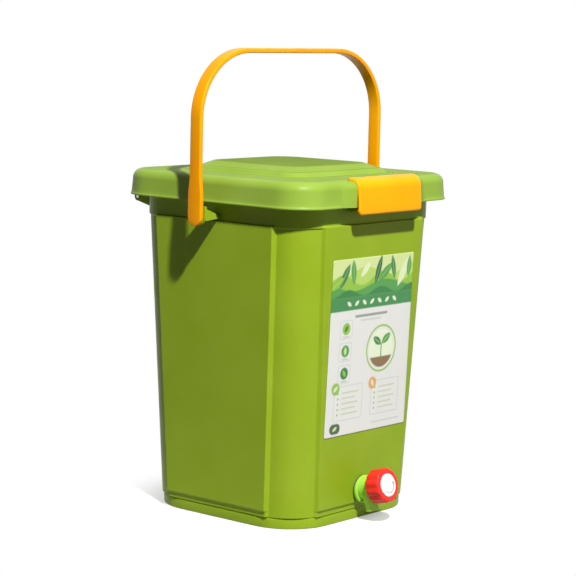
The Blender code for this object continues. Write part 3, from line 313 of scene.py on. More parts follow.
# %% Outline of the bucket at one height
BODY_HALF, DRAFT, WALL_MM = 115.2, 0.0373, 2.6
BASE_CORNER, TOP_CORNER, BODY_HEIGHT = 46, 42, 396.8
PANEL_STEP, PANEL_LOW, PANEL_SLOPE = 5.4, 76, 3
PANEL_WIDER = 14 / 337
PANEL_BOTTOM, LEDGE = 20, 2.2
BAND_HALF, BAND_START, BAND_ROUND, PANEL_TOP = 129.8, 347.6, 2.2, 351.4
FOOT_ROUNDER, LOWER_SHARE = 10, 0.58
RAMP_SHARES = np.array([-0.5, -0.2, 0, 0.1, 0.22, 0.36, 0.5, 0.64, 0.78, 0.9, 1, 1.2, 1.5])
PANEL_SHARES = np.array([0, 0.2, 0.4, 0.6, 0.8, 0.93])
PILLAR_SHARES = np.array([0.04, 0.1, 0.18, 0.27, 0.36, 0.45, 0.54, 0.63, 0.72, 0.81, 0.9, 1])


def smooth(share):
    """0 below 0, 1 above 1, and 3 s squared minus 2 s cubed between."""
    share = np.clip(share, 0, 1)
    return share * share * (3 - 2 * share)


def four_sides(x, y, z):
    """Half of a side, from its middle to the corner, mirrored and turned on to all four sides."""
    x = np.concatenate([-x[:, :0:-1], x[:, :-1]], axis=1)
    y = np.concatenate([-y[:, :0:-1], -y[:, :-1]], axis=1)
    z = np.broadcast_to(z, x.shape)
    turned = ((x, y), (-y, x), (-x, -y), (y, -x))
    return np.concatenate([np.stack([a, b, z], -1) for a, b in turned], axis=1)


def body_half(z):
    """Half width of the tub between its panels: it grows with height by the draft."""
    return BODY_HALF + DRAFT * z


def tub_rows(z, half, raised, inset=0.0, shrink=1.0, rounder=0.0):
    """Outlines of the tub, one row for each height z.

    The base outline is a square of the given half width with round corners. Where raised is 1 the
    panel's face stands PANEL_STEP outside the pillars, and a smooth step joins the two. inset moves
    everything in, for the inner skin, shrink draws the columns to the middle for the floor, and
    rounder adds to the corner's radius.
    """
    z, half, raised, shrink = [np.broadcast_to(v, np.shape(z)).astype(float)[:, None]
                               for v in (z, half, raised, shrink)]
    corner = BASE_CORNER + (TOP_CORNER - BASE_CORNER) * z / BODY_HEIGHT + half - body_half(z) + rounder
    corner = np.clip(corner, 0.01, half - 0.005)
    straight = half - corner
    edge = (PANEL_LOW + PANEL_WIDER * (z - PANEL_BOTTOM) - inset) * shrink
    face = body_half(z) + PANEL_STEP - inset
    beside = np.concatenate([edge * PANEL_SHARES, edge + PANEL_SLOPE * RAMP_SHARES * shrink], axis=1)
    over = np.clip((beside - straight) / corner, 0, 1)
    depth = np.where(beside > straight, straight + corner * np.sqrt(1 - over ** 2), half)
    on_panel = 1 - smooth((beside - edge) / (PANEL_SLOPE * shrink))
    depth = np.maximum(depth, depth + (face - depth) * on_panel * raised)
    last = beside[:, -1:]
    swept = np.where(last > straight,
                     straight + corner * np.arcsin(np.clip((last - straight) / corner, 0, 1)), last)
    along = swept + (straight + corner * math.pi / 4 - swept) * PILLAR_SHARES
    angle = np.clip((along - straight) / corner, 0, None)
    x = np.concatenate([beside, np.where(angle > 0, straight + corner * np.sin(angle), along)], axis=1)
    y = np.concatenate([depth, straight + corner * np.cos(angle)], axis=1)
    return four_sides(x, y, z)


# %% [markdown]
# The outside has a foot band under a soft groove, a wall that stands out a little below the panels,
# the panels' lower ledges, and a recessed rim band between the panels' tops and the lid. The neck above
# it is the ring that the lid's seal sits on. Edges that the mould rounds get three or four rows close
# together, which is what makes them catch light.

# %% The bucket's skin
FOOT_ROWS = (
    (5, 0.01, 0.001), (5, 60, 0.5), (5, 107.2, 0.9), (4.6, 108, 0.92), (3.8, 108.3, 0.93),
    (0.5, 108.3, 0.93), (0.1, 108.6, 0.93), (0, 109.1, 0.94), (0, 116.4, 0.97), (0.15, 117, 0.98),
    (0.6, 117.6, 1), (1.3, 117.8, 1), (10.4, 118.1, 1), (11.2, 118, 1), (11.8, 117.7, 1),
    (12.3, 117.3, 1), (12.8, 117.2, 1))
NECK_ROWS = (
    (369.2, 129.8), (369.8, 130), (370.2, 130.8), (370.6, 131.4), (395.6, 131.4), (396.3, 131.2),
    (396.7, 130.8), (396.8, 130.3), (396.8, 129.6), (396.7, 129.2), (396.4, 128.9), (395.8, 128.8),
    (372, 128.8), (370, 128.75), (364, 127.6))
FLOOR_ROWS = ((13, 113.1, 1), (11, 112.7, 1), (9.8, 111.7, 0.99), (9.2, 110.4, 0.97),
              (9, 108.8, 0.95), (9, 60, 0.5), (9, 0.01, 0.001))


def tub_skin():
    """The whole closed skin, from the underside up the outside and down the inside."""
    foot = np.array(FOOT_ROWS)
    ledge = np.linspace(PANEL_BOTTOM - 0.7 * LEDGE, PANEL_BOTTOM + 1.1 * LEDGE, 13)
    wall = np.concatenate([[13.4, 14, 17], ledge, [25, 60, 110, 160, 210, 260, 310, 340, 346]])
    raised = LOWER_SHARE + (1 - LOWER_SHARE) * smooth((wall - PANEL_BOTTOM + LEDGE / 2) / LEDGE)
    band = np.linspace(BAND_START - 0.4, PANEL_TOP + 0.4, 16)
    ended = smooth((PANEL_TOP - band) / 1.6)
    swell = body_half(band) + (BAND_HALF - body_half(band)) * smooth((band - BAND_START) / BAND_ROUND)
    neck, floor = np.array(NECK_ROWS), np.array(FLOOR_ROWS)
    down = np.array([358, 354, 350, 347, 344, 330, 280, 220, 160, 100, 50, 30, 27, 25, 23.4, 22, 20, 16])
    hollow = smooth((down - 21) / 5) * (1 - smooth((down - 345) / 8))
    return np.concatenate([
        tub_rows(foot[:, 0], foot[:, 1], 0, shrink=foot[:, 2], rounder=FOOT_ROUNDER),
        tub_rows(wall, body_half(wall), raised),
        tub_rows(band, swell, ended),
        tub_rows(neck[:, 0], neck[:, 1], 0),
        tub_rows(down, body_half(down) - WALL_MM, hollow, WALL_MM),
        tub_rows(floor[:, 0], floor[:, 1], 0, shrink=floor[:, 2])]) * MM


bucket = surface("bucket_moulding", tub_skin())
seat(bucket, *BUCKET, "bucket")

# %% [markdown]
# Small mouldings on the tub are straight prisms: webs, gussets and the catch bar. A prism is an outline
# carried along one axis, and a narrow Bevel rounds its edges. Knuckles and pegs are turned: a profile
# of distance and radius is carried round an axis.

# %% Prisms and turned parts
AXES = {"X": (1, 2, 0), "Y": (0, 2, 1), "Z": (0, 1, 2)}


def prism_grid(outline, low, high, axis):
    """An outline of pairs set at two places on an axis, as a grid of two rows, in mm."""
    flat = np.array(outline, float)
    grid = np.zeros((2, len(flat), 3))
    first, second, third = AXES[axis]
    grid[..., first], grid[..., second] = flat[:, 0], flat[:, 1]
    grid[0, :, third], grid[1, :, third] = low, high
    return grid * MM


def box_grid(low, high):
    """A box between two corners, as a prism along Z."""
    (a, b, c), (d, e, f) = low, high
    return prism_grid(((a, b), (d, b), (d, e), (a, e)), c, f, "Z")


def frame_along(start, direction):
    """Origin and three unit axes, the last along the direction."""
    w = np.array(direction, float)
    w /= np.linalg.norm(w)
    u = np.cross((0, 0, 1), w) if abs(w[2]) < 0.9 else np.cross((1, 0, 0), w)
    u /= np.linalg.norm(u)
    return np.array(start, float), u, np.cross(w, u), w


def rings(start, direction, height, radius, angle):
    """Circles round an axis. Height and radius, in mm, hold one value a row, or one for each angle."""
    origin, u, v, w = frame_along(start, direction)
    circle = np.cos(angle)[:, None] * u + np.sin(angle)[:, None] * v
    return (origin + height[..., None] * w + radius[..., None] * circle) * MM


def full_turn(steps):
    """Angles all the way round, without the last that would repeat the first."""
    return np.linspace(0, math.tau, steps, endpoint=False)


def turned_grid(profile, start, direction, steps=48):
    """Each row is a circle: the profile gives its height along the axis and its radius, in mm."""
    return rings(start, direction, *np.array(profile, float).T[..., None], full_turn(steps))


def tubes(spans, centre, outer, inner, edge=0.5):
    """Short pipes along X between the given places, round one centre of y and z."""
    return [turned_grid(tube_profile(end - start, outer, inner, edge), (start, *centre), (1, 0, 0), 32)
            for start, end in spans]


def tube_profile(length, outer, inner, edge=0.5):
    """A pipe's section, with its outer edges trimmed."""
    return ((0, inner), (0, outer - edge), (edge, outer), (length - edge, outer),
            (length, outer - edge), (length, inner))


# %% Ears, hinge knuckles, catch bar and foot ribs
PIVOT_Z, EAR_X, EAR_THICK, EAR_HALF_MM, EAR_TOP, EAR_HOLE = 356, 157.2, 3.6, 9.5, 368, 4.4
HINGE_TUBE = (148, 366), 5, 2.3  # centre as y and z, outer radius, hole
BUCKET_KNUCKLES = ((-106, -70), (-18, 18), (70, 106))
LID_KNUCKLES = ((-69.4, -18.6), (18.6, 69.4))
GUSSET = ((128, 353.6), (155, 351.3), (155, 365.6), (128, 355.4))
EAR_WEB = ((128, 354.4), (155, 363.8), (155, 365.4), (128, 355.2))
WEB = ((129.6, 356.5), (148, 361), (148, 366.8), (129.6, 366.8))
CATCH_BOX = (-50, -138.4, 366.4), (50, -129.6, 369.4)


def ear_grid(side):
    """The ear's plate: a half round below the pivot, straight above, with a peg hole."""
    angle = full_turn(48)
    y, z = EAR_HALF_MM * np.sin(angle), -EAR_HALF_MM * np.cos(angle)
    reach = np.maximum(np.abs(y) / EAR_HALF_MM, np.clip(z / (EAR_TOP - PIVOT_Z), 0, None))
    upper = z > 0
    square_y = np.where(upper, y / np.maximum(reach, 0.01), y)
    square_z = np.where(upper, z / np.maximum(reach, 0.01), z)
    hole_y, hole_z = EAR_HOLE * np.sin(angle), -EAR_HOLE * np.cos(angle)
    outer, inner = side * EAR_X, side * (EAR_X - EAR_THICK)
    loops = ((inner, square_y, square_z), (outer, square_y, square_z),
             (outer, hole_y, hole_z), (inner, hole_y, hole_z))
    return np.stack([np.stack([np.full(48, x), a, PIVOT_Z + b], -1) for x, a, b in loops]) * MM


def mirrored(outline, side):
    """The outline as it is on the right, or mirrored for the left."""
    return [(side * a, b) for a, b in outline]


for side, word in ((-1, "left"), (1, "right")):
    mould(f"ear_{word}", [ear_grid(side)], BUCKET, 0.5, ring=True)
    mould(f"ear_gussets_{word}", [
        prism_grid(mirrored(GUSSET, side), hand * 9.45, hand * 7.1, "Y") for hand in (-1, 1)]
        + [prism_grid(mirrored(EAR_WEB, side), -8, 8, "Y")], BUCKET, 0.4)

mould("bucket_knuckles", tubes(BUCKET_KNUCKLES, *HINGE_TUBE), BUCKET, ring=True)
mould("bucket_hinge_webs", [
    prism_grid(WEB, start + 0.6, end - 0.6, "X") for start, end in BUCKET_KNUCKLES], BUCKET, 0.4)
mould("catch_bar", [box_grid(*CATCH_BOX)], BUCKET, 0.5)
mould("foot_ribs", [
    box_grid((-110, -1.2, 0.6), (110, 1.2, 7)), box_grid((-1.2, -110, 0.6), (1.2, 110, 7)),
    turned_grid(((0, 0.01), (0, 13.4), (0.6, 14), (7, 14), (7, 0.01)), (0, 0, 0), (0, 0, 1))], BUCKET)

# %% [markdown]
# The lid is a cap with a round shoulder. Its skirt hangs over the rim band and ends in a thin lip that
# catches the light. On top a shallow groove runs round, and a stepped plateau rises in the middle.
# It is a closed skin too: from the middle of the top outwards, down the skirt and back underneath.
# Every row is a square with round corners, and the rows' half widths and heights are its section.

# %% The lid's section
RIM_TOP, LID_HALF, LID_CORNER, PLATEAU_CORNER = 402.5, 144.5, 42, 26
PLATEAU_TOP, LEDGE_Z, SHOULDER, GROOVE_HALF, GROOVE_DEEP = 413.5, 408.1, 11, 96, 1.6
LID_TOP_ROWS = (
    (0.01, PLATEAU_TOP), (30, PLATEAU_TOP), (60, PLATEAU_TOP), (70, PLATEAU_TOP - 0.05),
    (71.2, PLATEAU_TOP - 0.2), (72.4, PLATEAU_TOP - 0.7), (73.6, PLATEAU_TOP - 1.3),
    (79.6, LEDGE_Z + 1.2), (80.8, LEDGE_Z + 0.5), (82, LEDGE_Z + 0.15), (83.4, LEDGE_Z),
    (84.6, LEDGE_Z - 0.05), (85.4, LEDGE_Z - 0.3), (86.2, LEDGE_Z - 0.9), (86.8, LEDGE_Z - 1.7),
    (88.4, RIM_TOP + 2.2), (89.2, RIM_TOP + 1), (90, RIM_TOP + 0.4), (91.2, RIM_TOP + 0.08), (92.4, RIM_TOP),
    (94.2, RIM_TOP), (94.7, RIM_TOP - 0.3), (95.1, RIM_TOP - 1.1), (95.5, RIM_TOP - 1.5),
    (96, RIM_TOP - GROOVE_DEEP), (96.5, RIM_TOP - 1.5), (96.9, RIM_TOP - 1.1), (97.3, RIM_TOP - 0.3),
    (97.8, RIM_TOP), (100, RIM_TOP), (108, RIM_TOP))
SHOULDER_TURN = (0, 7, 13, 17, 18.3, 19.6, 25, 31, 36, 38, 45, 54, 63, 72, 81, 90)
SKIRT_ROWS = (
    (143.1, 388), (143.9, 380), (144.3, 375.6), (144.6, 374.6), (145.1, 374.1), (145.3, 373.6),
    (145.3, 372.5), (145.1, 372.1), (144.7, 372), (142.5, 372), (142.1, 372.2), (142, 372.7),
    (140.8, 390))
UNDER_ROWS = ((131.9, 400), (110, 400), (99.2, 400), (98.9, 399), (98, 398.5), (94, 398.5), (93.1, 399),
              (92.8, 400), (88, 400), (84.2, 405.3), (79.8, 405.6), (70, 411), (40, 411), (0.01, 411))
CORNER_ANGLES = 14


def arc_rows(half, top, radius, turn):
    """Half widths and heights along a circle at the given degrees from its top."""
    angle = np.radians(turn)
    return np.stack([half - radius + radius * np.sin(angle), top - radius + radius * np.cos(angle)], 1)


def square_rows(half, z, corner, across):
    """Squares with round corners, one row for each half width and height.

    across holds the places of the columns on the straight part of a side, in mm. Where a row's
    straight part is shorter than the widest of them, they draw together in proportion.
    """
    half, z, corner = [np.asarray(v, float)[:, None] for v in (half, z, corner)]
    corner = np.clip(corner, 0.005, half - 0.002)
    straight = half - corner
    inner = across * np.minimum(1, straight / (1.5 * across[-1]))
    share = np.array([0.25, 0.5, 0.75, 1])
    outer = inner[:, -1:] + (straight - inner[:, -1:]) * share
    angle = np.linspace(0, math.pi / 4, CORNER_ANGLES // 2 + 1)[1:]
    x = np.concatenate([inner, outer, straight + corner * np.sin(angle)], axis=1)
    y = np.concatenate([half + 0 * inner, half + 0 * outer, straight + corner * np.cos(angle)], axis=1)
    return four_sides(x, y, z)


def lid_corner(half):
    """The lid's corners turn tighter towards the middle, down to the plateau's own radius."""
    return np.maximum(LID_CORNER - (LID_HALF - half), PLATEAU_CORNER)


# %% [markdown]
# Behind the latch the shoulder has a trough where the latch's barrel turns between two lugs. The
# trough is part of the same skin: where both the place along the front and the place across the
# shoulder fall inside it, the surface is held down to the trough's floor.

# %% The lid's skin
TROUGH_HALF, TROUGH_BACK, TROUGH_FRONT, TROUGH_FLOOR = 58.5, 135.3, 140.7, 400.3
# Painted shade with added roughness: on the rim's flats, on the plateau's top, and in the groove and at the
# plateau's foot.
RIM_SHADE_ROUGH, TOP_SHADE_ROUGH, CREASE_SHADE_ROUGH = 0.19, 0.4, 0.24
SHADE_ROUGH_RISE, SHADE_ROUGH_FADE_DEGREES, SLOPE_WEIGHT = 8, 24, 4
CREASE_SHADE_BELLS = (92.4, 1.2), (GROOVE_HALF, 1)
ACROSS = np.array([0, 20, 40, 54, 57.6, 58.1, 58.5, 58.9, 59.4, 62])


def lid_skin():
    """The closed skin, with the latch's trough pressed into the front of the shoulder.

    Each row also gets a value of painted shade and added roughness: the flats of the top are painted
    darker, by one over one plus the square of the weighted slope. Painted shade also darkens the groove
    and the plateau's foot, as two bell curves.
    """
    shoulder = arc_rows(LID_HALF - 1.6, RIM_TOP, SHOULDER, SHOULDER_TURN)
    inner = arc_rows(LID_HALF - 4.1, RIM_TOP - 2.5, SHOULDER - 2.5, np.linspace(90, 0, 6))
    half, z = np.concatenate([LID_TOP_ROWS, shoulder, SKIRT_ROWS, inner, UNDER_ROWS]).T
    grid = square_rows(half, z, lid_corner(half), ACROSS)
    first = len(LID_TOP_ROWS)
    rim = grid[first:first + len(shoulder)]
    beside = smooth((TROUGH_HALF + 0.4 - np.abs(rim[..., 0])) / 0.8)
    within = smooth((-rim[..., 1] - TROUGH_BACK + 0.2) / 0.4) * (rim[..., 1] > -TROUGH_FRONT)
    rim[..., 2] -= np.maximum(rim[..., 2] - TROUGH_FLOOR, 0) * beside * within
    # Painted shade on the top's flats: the flatter and higher they lie, the darker.
    flat = 1 / (1 + (SLOPE_WEIGHT * np.gradient(z[:first], half[:first])) ** 2)
    # Painted crease shade in the groove and at the plateau's foot, as two bell curves.
    crease_shade = sum(np.exp(-((half[:first] - place) / wide) ** 2) for place, wide in CREASE_SHADE_BELLS)
    shade_and_rough = np.zeros(len(half))
    higher = smooth((z[:first] - RIM_TOP) / SHADE_ROUGH_RISE)
    shade_and_rough[:first] = (RIM_SHADE_ROUGH + (TOP_SHADE_ROUGH - RIM_SHADE_ROUGH) * higher) * flat + CREASE_SHADE_ROUGH * crease_shade
    shade_and_rough[first:first + len(shoulder)] = RIM_SHADE_ROUGH * (1 - smooth(np.array(SHOULDER_TURN) / SHADE_ROUGH_FADE_DEGREES))
    return grid * MM, shade_and_rough


# The lid's skin carries its painted shade and added roughness on its points.
skin, shade_rough_rows = lid_skin()
lid = surface("lid_moulding", skin, shade_and_rough=shade_rough_rows)
seat(lid, *LID, "lid")

# %% Lugs, knuckles and the seal's channel
LUG_X, LUG_HALF, LATCH_AXIS_Y, LATCH_AXIS_Z, BARREL_R, LATCH_PIN_HOLE = 35, 3, -138, 403.2, 2.2, 1.4
CHANNEL_RIBS = ((125.3, 126.8), (133.4, 134.9))


def ring_wall(inner, outer, low, high):
    """A square ring that follows the rim: four rows that close on themselves."""
    half = np.array([inner, outer, outer, inner], float)
    return square_rows(half, (low, low, high, high), half - 89.4, ACROSS) * MM


mould("latch_lugs", [
    box_grid((side * LUG_X - LUG_HALF, LATCH_AXIS_Y - BARREL_R + 0.05, 399.5),
             (side * LUG_X + LUG_HALF, LATCH_AXIS_Y + BARREL_R - 0.05, LATCH_AXIS_Z)) for side in (-1, 1)],
    LID, 0.2)
mould("latch_lug_heads", tubes(
    [(side * LUG_X - LUG_HALF, side * LUG_X + LUG_HALF) for side in (-1, 1)],
    (LATCH_AXIS_Y, LATCH_AXIS_Z), BARREL_R, LATCH_PIN_HOLE, 0.2), LID, ring=True)
mould("lid_knuckles", tubes(LID_KNUCKLES, *HINGE_TUBE), LID, ring=True)
mould("lid_hinge_arms", [
    prism_grid(((142.2, 368.6), (143.5, 367), (147, 370.8), (146, 373.4), (142.2, 373.4)),
               start + 0.4, end - 0.4, "X") for start, end in LID_KNUCKLES], LID, 0.4)
mould("seal_channel_ribs", [
    ring_wall(inner, outer, 398, 400.2) for inner, outer in CHANNEL_RIBS], LID, ring=True)

# %% [markdown]
# The latch is a folded plate. It turns on a barrel at the lid's shoulder, lies over it, hangs down in
# front of a raised pad on the skirt and hooks under the catch bar. Its section is one closed line: out
# along the top, round the fold and down the face, back along the hook, and up again on the inside.
# That line is repeated at places across the latch. Near the two ends the outside draws in along a
# quarter circle, which gives the soft border that the photograph shows, and the foot's corners rise.

# %% The latch
LATCH_HALF, LATCH_WALL, LATCH_FACE_Y, LATCH_BOTTOM, LATCH_TOP_Z, LATCH_FOLD = 58, 3, 154, 363.5, 405.4, 13
LATCH_FACE_FOOT, LATCH_LIP_TIP, LATCH_CORNER, LATCH_EDGE = 155.6, 136.6, 5, 2.4
HOOK_HALF, STUB_END, LUG_NOTCH, NOTCH_END, PLATE_BACK = 42, 152.5, (31.5, 38.5), 140.8, 137.9
PAD_HALF, PAD_GAP, PAD_LOW = 57.6, 0.15, 372.2


def fold_line(radius, count, turn=90):
    """Places along the fold, as y and z, from the top down to the face."""
    angle = np.radians(np.linspace(0, turn, count))
    return np.stack([-(LATCH_FACE_Y - LATCH_FOLD) - radius * np.sin(angle),
                     LATCH_TOP_Z - LATCH_FOLD + radius * np.cos(angle)], 1)


def latch_section(x):
    """The closed line of y and z at one place across the latch."""
    side = abs(x)
    inset = max(side - LATCH_HALF + LATCH_EDGE, 0)
    draw = LATCH_EDGE - math.sqrt(LATCH_EDGE ** 2 - inset ** 2)
    lift = LATCH_CORNER - math.sqrt(LATCH_CORNER ** 2 - max(side - LATCH_HALF + LATCH_CORNER, 0) ** 2)
    back = -NOTCH_END if LUG_NOTCH[0] < side < LUG_NOTCH[1] else -PLATE_BACK
    tip = -LATCH_LIP_TIP if side < HOOK_HALF else -STUB_END
    outer = fold_line(LATCH_FOLD - draw, 10)
    foot_y, foot_z = -LATCH_FACE_FOOT + draw, LATCH_BOTTOM + draw
    turn = np.radians(np.linspace(0, 90, 6))
    bend = np.stack([foot_y + LATCH_EDGE * (1 - np.cos(turn)), foot_z + LATCH_EDGE * (1 - np.sin(turn))], 1)
    share = np.linspace(0, 1, 6)[1:-1, None]
    face = outer[-1] + (bend[0] - outer[-1]) * share
    lip = [((bend[-1, 0] + tip) / 2, foot_z), (tip - 0.5, foot_z), (tip, foot_z + 0.5)]
    inside = [(tip, LATCH_BOTTOM + LATCH_WALL), (-LATCH_FACE_FOOT + LATCH_WALL, LATCH_BOTTOM + LATCH_WALL)]
    inner = fold_line(LATCH_FOLD - LATCH_WALL, 10)[::-1]
    line = np.concatenate([[(back, LATCH_TOP_Z - draw)], outer, face, bend, lip, inside, inner,
                           [(back, LATCH_TOP_Z - LATCH_WALL)]])
    hinge_side = LATCH_TOP_Z - LATCH_FOLD
    low = np.clip((hinge_side - line[:, 1]) / (hinge_side - LATCH_BOTTOM), 0, 1)
    line[:, 1] += lift * low
    return line


def latch_grid():
    """The section at each place across, close together where it changes."""
    ends = LATCH_HALF - LATCH_EDGE * (1 - np.sin(np.radians([0, 18, 36, 54, 70, 82])))
    inner = [8, 18, 31.45, 31.55, 38.45, 38.55, 41.95, 42.05, 50, 54.2]
    right = np.concatenate([inner, ends])
    places = np.concatenate([-right[::-1], right])
    rows = [np.column_stack([np.full(len(line), x), line]) for x in places for line in [latch_section(x)]]
    return np.array(rows) * MM


latch = surface("latch_plate", latch_grid())
seat(tidy_edges(latch, 0.3 * MM, 2, 50), *LATCH, "front_latch")
LATCH_BARRELS = ((-57.4, -38.5), (-31.5, 31.5), (38.5, 57.4))
mould("latch_barrels", tubes(
    LATCH_BARRELS, (LATCH_AXIS_Y, LATCH_AXIS_Z), BARREL_R, LATCH_PIN_HOLE, 0.25), LATCH, ring=True)

# %% The pad behind the latch
pad_front = fold_line(LATCH_FOLD - LATCH_WALL - PAD_GAP, 10)
PAD_LINE = np.concatenate([
    [(-135.4, TROUGH_FLOOR), (-TROUGH_FRONT, TROUGH_FLOOR), (-TROUGH_FRONT, pad_front[0, 1])], pad_front,
    [(pad_front[-1, 0], PAD_LOW), (-143.4, PAD_LOW), (-142, 391), (-137, 398.6)]])
PAD_RAMP = 20


def pad_end(side):
    """The pad's ramp: its section fades to the skirt's own as a smooth share of the way outwards."""
    turn = np.radians(np.linspace(0, 90, 10))
    bare = np.stack([-131.9 - 10.9 * np.sin(turn), 391.5 + 10.9 * np.cos(turn)], 1)
    bare = np.concatenate([bare, [(-144.9, PAD_LOW + 0.2)]])
    full = np.concatenate([pad_front, [(pad_front[-1, 0], PAD_LOW)]])
    rows = []
    for share in np.linspace(0, 1, 9):
        line = full + (bare - full) * smooth(share)
        line = np.concatenate([line, [(-140.5, PAD_LOW + 1.5), (-130, 391), (-129, 400)]])
        rows.append(np.column_stack([np.full(len(line), side * (PAD_HALF + PAD_RAMP * share)), line]))
    return np.array(rows) * MM


mould("latch_pad", [prism_grid(PAD_LINE, -PAD_HALF, PAD_HALF, "X")], LID, 0.3)
mould("latch_pad_ramps", [pad_end(side) for side in (-1, 1)], LID)

# %% [markdown]
# The handle is one flat strap, 16 mm wide and 5.6 mm thick, bent over the lid. Its path is a straight leg,
# a quarter of an ellipse and a straight top. At each foot it widens into a round eye with a peg that
# snaps into the ear. The section is a rectangle with rounded corners carried along the path.

# %% The handle
STRAP_THICK, STRAP_HALF, STRAP_ROUND, EYE_R = 5.6, 8, 1.6, 10.2
LEG_X, HANDLE_MID_TOP, BEND_WIDE, BEND_HIGH = 162.6, 544.2, 81, 77
WIDE_TOP, WIDE_FADE, PEG_R, PEG_HEAD_R = 378, 30, 4, 5.6


def handle_half_path():
    """x, z, the outward normal and the half width along the left half, from the eye's foot up."""
    turn = np.radians([86, 78, 66, 52, 38, 25, 12])
    eye = np.stack([0 * turn - LEG_X, PIVOT_Z - EYE_R * np.sin(turn), 0 * turn - 1, 0 * turn,
                    EYE_R * np.cos(turn)], 1)
    z = np.concatenate([[PIVOT_Z, 364, 372], np.linspace(WIDE_TOP, WIDE_TOP + WIDE_FADE, 7), [446]])
    width = EYE_R + (STRAP_HALF - EYE_R) * smooth((z - WIDE_TOP) / WIDE_FADE)
    leg = np.stack([0 * z - LEG_X, z, 0 * z - 1, 0 * z, width], 1)
    angle = np.linspace(0, math.pi / 2, 25)
    x = -LEG_X + BEND_WIDE * (1 - np.cos(angle))
    top = HANDLE_MID_TOP - BEND_HIGH * (1 - np.sin(angle))
    normal = np.stack([-np.cos(angle) * BEND_HIGH, np.sin(angle) * BEND_WIDE], 1)
    normal /= np.linalg.norm(normal, axis=1)[:, None]
    bend = np.column_stack([x, top, normal, np.full(len(x), STRAP_HALF)])
    bar = np.array([[-70, HANDLE_MID_TOP, 0, 1, STRAP_HALF], [-35, HANDLE_MID_TOP, 0, 1, STRAP_HALF]])
    return np.concatenate([eye, leg, bend, bar])


def strap_grid():
    """The rounded rectangle set across the path at each of its points."""
    left = handle_half_path()
    right = left[::-1] * (-1, 1, -1, 1, 1)
    x, z, nx, nz, half = np.concatenate([left, [[0, HANDLE_MID_TOP, 0, 1, STRAP_HALF]], right]).T[..., None]
    middle = np.repeat([45, 135, 225, 315], 5)
    corner = np.radians(middle + np.tile([-45, -22.5, 0, 22.5, 45], 4))
    cosine, sine = np.cos(corner), np.sin(corner)
    toward, upward = np.sign(np.cos(np.radians(middle))), np.sign(np.sin(np.radians(middle)))
    round_off = np.minimum(STRAP_ROUND, 0.9 * half)
    out = toward * (STRAP_THICK / 2 - round_off) + round_off * cosine
    across = upward * (half - round_off) + round_off * sine
    return np.stack([x + nx * out, across + 0 * x, z + nz * out], -1) * MM


handle = surface("handle_strap", strap_grid())
seat(handle, *HANDLE, "handle")
EYE_BOSS = ((-0.6, 0.01), (-0.6, 8.8), (1.5, 8.8), (1.9, 8.6), (2, 8.2), (2, 4.1), (2, PEG_R),
            (9.1, PEG_R), (9.3, PEG_HEAD_R - 0.4), (9.6, PEG_HEAD_R), (10.4, 5.2), (11.1, 4.2), (11.1, 0.01))
mould("handle_pegs", [
    turned_grid(EYE_BOSS, (side * 161, 0, PIVOT_Z), (-side, 0, 0)) for side in (-1, 1)], HANDLE)

# %% [markdown]
# The tap is a small moulding. A flange presses a rubber washer on the drafted front panel, and a
# threaded tail goes through to a nut inside. The barrel leans up by 14 degrees from the wall, and the
# spout points down from it, wide where it leaves the barrel and narrow at its mouth.

# %% The tap's frames and body
TAP_PLACE = np.array((0, -121.96, 36.5))
WALL_OUT = np.array((0, -1, -DRAFT)) / math.hypot(1, DRAFT)
VALVE_TILT = math.radians(14)
VALVE_OUT = np.array((0, -math.cos(VALVE_TILT), math.sin(VALVE_TILT)))
SPOUT_DOWN = np.array((0, -math.sin(VALVE_TILT), -math.cos(VALVE_TILT)))
FLANGE = ((2.6, 0.01), (2.6, 15.9), (2.75, 16.3), (3.2, 16.5), (5.5, 16.5), (6.1, 16.3), (6.5, 15.8),
          (6.6, 15.2), (6.6, 14.3), (6.4, 13.8), (5.8, 13.5), (5.3, 13.3), (5.2, 12.8), (5.2, 0.01))
BARREL_R_MM, BARREL_END, BARREL_BORE, SEAT_Z, BARREL_FOOT = 13, 21, 9, 7, 4.2
SPOUT_AT = 12.5
TAIL_R, TAIL_END, TAIL_BORE_R, THREAD_PITCH, THREAD_DEEP = 8.5, -15, 5.5, 2.0, 0.7


def barrel_grid():
    """A pipe along the valve whose foot is cut on the slant by the flange's plane."""
    profile = ((BARREL_END - 4, BARREL_R_MM), (BARREL_END - 0.9, BARREL_R_MM),
               (BARREL_END - 0.3, BARREL_R_MM - 0.2), (BARREL_END, BARREL_R_MM - 0.8),
               (BARREL_END, BARREL_BORE + 0.2), (BARREL_END - 0.3, BARREL_BORE), (SEAT_Z, BARREL_BORE),
               (SEAT_Z, 0.01))
    grid = turned_grid(((0, BARREL_R_MM), *profile), TAP_PLACE, VALVE_OUT) / MM
    away = (grid[0] - TAP_PLACE) @ WALL_OUT
    grid[0] += ((BARREL_FOOT - away) / (VALVE_OUT @ WALL_OUT))[:, None] * VALVE_OUT
    return grid * MM


def spout_grid():
    """Rings square to the spout: their width along X shrinks from the barrel's to the mouth's."""
    rows = np.array([
        (3, 12.6, 8.2), (8, 12.4, 8.2), (11, 11.9, 8.2), (14, 11, 8.1), (17, 10, 8), (20, 9, 7.9),
        (23, 8.2, 7.8), (25, 7.9, 7.8), (26.6, 7.9, 7.8), (27.5, 7.8, 7.7), (27.9, 7.5, 7.4),
        (28, 7, 6.9), (28, 5.7, 5.7), (27.8, 5.35, 5.35), (27.3, 5.2, 5.2), (10, 5.2, 5.2), (3, 5.2, 5.2)])
    root = TAP_PLACE + VALVE_OUT * SPOUT_AT
    angle = full_turn(56)
    down, wide, deep = rows[:, 0, None, None], rows[:, 1, None, None], rows[:, 2, None, None]
    side = np.cos(angle)[:, None] * np.array((1, 0, 0))
    return (root + down * SPOUT_DOWN + wide * side + deep * np.sin(angle)[:, None] * VALVE_OUT) * MM


